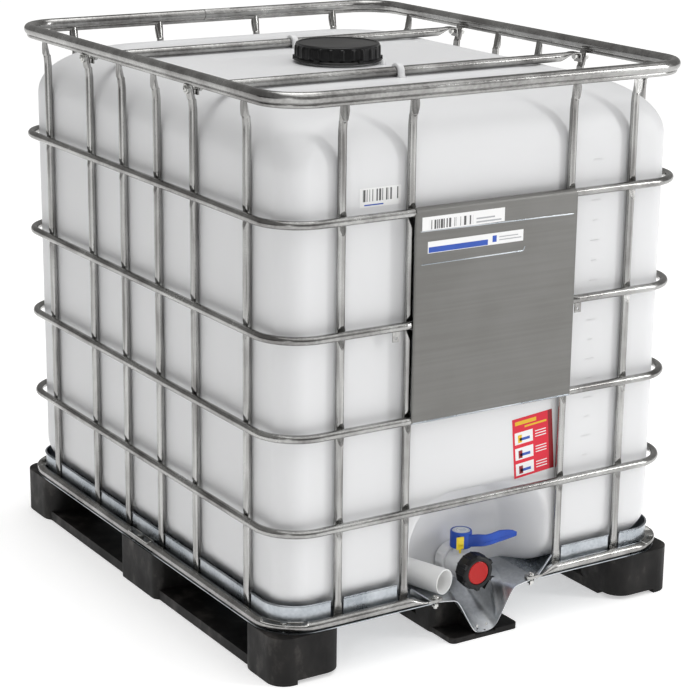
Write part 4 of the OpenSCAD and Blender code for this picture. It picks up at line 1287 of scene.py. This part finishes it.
# Half width and back edge of the mouth that is cut out for the chute, where the upstand begins
# beside it, and the half width of an upright's slot in the upstand.
MOUTH_X = 133.5
MOUTH_Y = -415.5
FLARE_X = 129
SLOT_HALF = 15
# Length over which the upstand leans out toward the chute, and how far it leans.
FLARE_REACH = 66
FLARE_OUT = 19
# The chute's trough: flat floor, slope of its flanks, where it ends at the back, lowest height.
CHUTE_LOW, CHUTE_HIGH = box_mm("chute_plate")
CHUTE_TOP = CHUTE_HIGH.z
CHUTE_FLOOR_HALF = 25
CHUTE_FLANK = 0.51
CHUTE_END_Y = -440
CHUTE_LOW_Z = 10
CHUTE_T = 1.8
CHUTE_COLUMNS = 134
CHUTE_ROWS = 44
# Where the chute laps over the tray: from this far out, and from this far back.
LAP_X = (86, 110)
LAP_Y = (-452, -424)
# Places of the screws through the rail's ends and through the trough's floor.
RAIL_SCREW_X = 121
PAD_SCREW_X = 12
PAD_SCREW_BACK = 14


def tray_floor(piece):
    """Flat sheet with rounded corners and the outlet's mouth cut out of its front."""
    hx, hy = TRAY_HIGH.x, TRAY_HIGH.y
    outline = [(-MOUTH_X, -hy), (-MOUTH_X, MOUTH_Y), (MOUTH_X, MOUTH_Y), (MOUTH_X, -hy)]
    for cx, cy, start in corner_centres(hx, hy, TRAY_CORNER_R):
        outline += arc_points(cx, cy, TRAY_CORNER_R, start, start + 90, 13)
    piece.prism([(x, y, TRAY_Z) for x, y in outline], (0, 0, 0), (0, 0, TRAY_T))


def wall_section(height, lean):
    """Sheet wall with a rolled bead; lean 0 is upright and 1 lies outward on the flange."""
    reach = FLARE_OUT * lean
    tall = height * (1 - lean) + 3.2 * lean
    bow = 7 * math.sin(math.pi * min(lean * 1.2, 1))
    path = [(0, TRAY_T - 0.5), (0.15 * reach, 0.16 * tall + TRAY_T - bow * 0.1),
            (0.5 * reach - bow * 0.3, 0.55 * tall), (0.85 * reach, 0.86 * tall), (reach, tall - 2.4)]
    outer = [(a + 1.0, b) for a, b in path]
    inner = [(a - 1.0, b + lean * 1.4) for a, b in path]
    bead = [(reach + 3.0, tall - 3.0), (reach + 3.6, tall - 1.5), (reach + 2.7, tall - 0.3),
            (reach + 1.0, tall + 0.2), (reach - 0.6, tall - 0.5)]
    return outer + bead + inner[::-1]


def make_floor_tray():
    ring = Ring(TRAY_X - 1, TRAY_Y - 1, TRAY_BEND - 1, FLARE_X)
    height = TRAY_HIGH.z - TRAY_Z
    piece = Piece("sheet_tray", SHEET)
    tray_floor(piece)
    marks = sorted(ring.nearest(*upright_foot(node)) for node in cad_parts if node.startswith("upright"))
    edges = [0.0]
    for mark in marks:
        edges += [mark - SLOT_HALF, mark + SLOT_HALF]
    edges.append(ring.length)
    places = ring.stations(arc_steps=16, windows=[(34, 34, 2.0), (ring.length - 34, 34, 2.0)])
    for start, stop in zip(edges[::2], edges[1::2]):
        rings = []
        for s in [start] + [s for s in places if start + 1 < s < stop - 1] + [stop]:
            lean = 1 - min(min(s, ring.length - s) / FLARE_REACH, 1.0)
            (x, y), (nx, ny) = ring.at(s)
            rings.append([(x + nx * a, y + ny * a, b + TRAY_Z) for a, b in wall_section(height, lean)])
        piece.loft(rings)
    piece.finish("container", "galvanised_sheet", "floor_tray", angle=40)


def upright_foot(node):
    """Middle of an upright, where its slot in the tray's upstand is."""
    low, high = box_mm(node)
    x, y = (low.x + high.x) / 2, (low.y + high.y) / 2
    if abs(x) > HOOP_X - 40:
        return math.copysign(TRAY_X - 1, x), y
    return x, math.copysign(TRAY_Y - 1, y)


def soft_max(a, width):
    """The larger of a and 0, rounded off over width."""
    return (a + math.sqrt(a * a + width * width)) / 2


def chute_height(x, y):
    """Height of the trough's top face: a rounded V that shallows toward the back."""
    fall = CHUTE_TOP - CHUTE_LOW_Z
    depth = max(fall * (CHUTE_END_Y - y) / (CHUTE_END_Y - CHUTE_LOW.y), 0.0)
    width = min(18.0, 0.28 * depth) + 0.01
    rise = soft_max((abs(x) - CHUTE_FLOOR_HALF) / CHUTE_FLANK, width)
    lap = max(smoothstep(*LAP_X, abs(x)), smoothstep(*LAP_Y, y))
    return CHUTE_TOP - soft_max(depth - rise, width) + lap * (TRAY_T - 0.05)


# Pressed ribs: both ends, height and half width.
RIBS = (
    ((38, -585), (74, -486), 1.9, 5.0), ((52, -592), (92, -500), 1.2, 3.5),
    ((-38, -585), (-74, -486), 1.6, 5.0),
)


def rib_height(x, y):
    """How far the pressed ribs stand up from the trough at one place."""
    raised = 0.0
    for (x0, y0), (x1, y1), height, half in RIBS:
        dx, dy = x1 - x0, y1 - y0
        t = ((x - x0) * dx + (y - y0) * dy) / (dx * dx + dy * dy)
        t = clamp(t, 0, 1)
        away = math.hypot(x - x0 - t * dx, y - y0 - t * dy)
        raised = max(raised, height * (1 - smoothstep(0, half, away)))
    return raised


def chute_sheet():
    """Grid of points on the trough's top face; its front edge steps back beside the trough."""
    sheet = []
    for j in range(CHUTE_ROWS + 1):
        line = []
        for x in np.linspace(-CHUTE_HIGH.x, CHUTE_HIGH.x, CHUTE_COLUMNS):
            front = CHUTE_LOW.y + 12 * smoothstep(108, 133, abs(x))
            y = front + (CHUTE_HIGH.y - front) * j / CHUTE_ROWS
            line.append((x, y, chute_height(x, y)))
        sheet.append(line)
    return np.array(sheet)


def make_chute():
    piece = Piece("pressed_chute", PRESSED, RUBBER)
    sheet = chute_sheet()
    normal = np.cross(np.gradient(sheet, axis=1), np.gradient(sheet, axis=0))
    normal /= np.linalg.norm(normal, axis=2, keepdims=True)
    lift = np.array([[rib_height(p[0], p[1]) for p in line] for line in sheet])
    upper = sheet + normal * lift[..., None]
    lower = sheet - normal * CHUTE_T
    lower[..., 2] = np.maximum(lower[..., 2], CHUTE_LOW.z)
    across, rows = CHUTE_COLUMNS, CHUTE_ROWS
    count = across * (rows + 1)
    faces = []
    for j in range(rows):
        for i in range(across - 1):
            a = j * across + i
            faces.append((a, a + 1, a + 1 + across, a + across))
            faces.append((count + a, count + a + across, count + a + across + 1, count + a + 1))
    rim = list(range(across))
    rim += [j * across + across - 1 for j in range(1, rows + 1)]
    rim += [rows * across + i for i in range(across - 2, -1, -1)]
    rim += [j * across for j in range(rows - 1, 0, -1)]
    for a, b in zip(rim, rim[1:] + rim[:1]):
        faces.append((a, count + a, count + b, b))
    piece.add([*upper.reshape(-1, 3), *lower.reshape(-1, 3)], faces)
    for x, y, radius in ((14, -458, 3.2), (-14, -590, 2.2), (2, -594, 2.2)):
        z = chute_height(x, y)
        piece.revolve([(radius, -1), (radius, 0.25), (radius * 0.5, 0.3)], (x, y, z), (0, 0, 1), 20, slot=1)
    piece.finish("container", "galvanised_sheet", "chute_plate", angle=32)


def make_chute_screws():
    """Two screws with nuts at the rail's ends, and two that slope with the trough's floor."""
    top = box_mm("chute_screws")[1].z
    tilt = math.atan2(CHUTE_TOP - CHUTE_LOW_Z, CHUTE_END_Y - CHUTE_LOW.y)
    up = Vector((0, -math.sin(tilt), math.cos(tilt)))
    along = Vector((0, math.cos(tilt), math.sin(tilt)))
    piece = Piece("chute_fasteners", ZINC)
    seat = top - 5
    under = CHUTE_TOP - TRAY_T
    head = [(8.0, seat - 0.1), (8.0, seat + 0.8), (6.6, seat + 1.0), (6.4, seat + 3.2), (5.4, top - 0.6),
            (3.2, top - 0.6), (2.6, top - 1.8)]
    nut = [(7.4, under - 7), (7.5, under - 6.4), (7.5, under - 0.4), (7.2, under)]
    for side in (-1, 1):
        centre = (side * RAIL_SCREW_X, -HOOP_Y, 0)
        piece.revolve(head, centre, UP, 32)
        piece.revolve([(4, under - 12), (4, seat)], centre, UP, 24)
        piece.revolve(nut, centre, UP, 6)
        base = Vector((side * PAD_SCREW_X, CHUTE_LOW.y, CHUTE_LOW_Z)) + along * PAD_SCREW_BACK
        piece.revolve([(3.0, -9), (3.0, 0), (6.0, 0), (6.0, 1.4), (5.0, 2.5), (3.0, 3.0)], base, up, 28)
    piece.finish("container", "zinc_fastener", "chute_screws", angle=40)


# ---------------------------------------------------------------- carried-over parts and the whole

# Materials of the parts that no piece replaces; the parts that are replaced aren't shown.
CAD_LOOKS = {
    "runner_left": BLACK, "runner_middle": BLACK, "runner_right": BLACK,
    "valve_stem": ZINC, "valve_flap": WHITE, "flap_seal": RUBBER,
    "lid_gasket": RUBBER, "outlet_gasket": RUBBER, "cap_gasket": RUBBER,
}


def dress_cad_nodes():
    for name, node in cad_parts.items():
        node.data.materials.clear()
        node.data.materials.append(CAD_LOOKS.get(name, TUBE))


make_camera()
make_studio()
dress_cad_nodes()
make_hoops()
make_top_rail()
make_bottom_rail()
make_uprights()
make_cross_bar("cross_bar_front")
make_cross_bar("cross_bar_rear")
make_bar_fasteners()
make_foot_bolts()
make_bottle()
make_label_plate()
make_stickers()
make_lid()
make_outlet_nut()
make_valve_body()
make_lever()
make_lever_disc()
make_clip()
make_outlet_cap()
make_cap_disc()
make_spout()
make_floor_tray()
make_chute()
make_chute_screws()
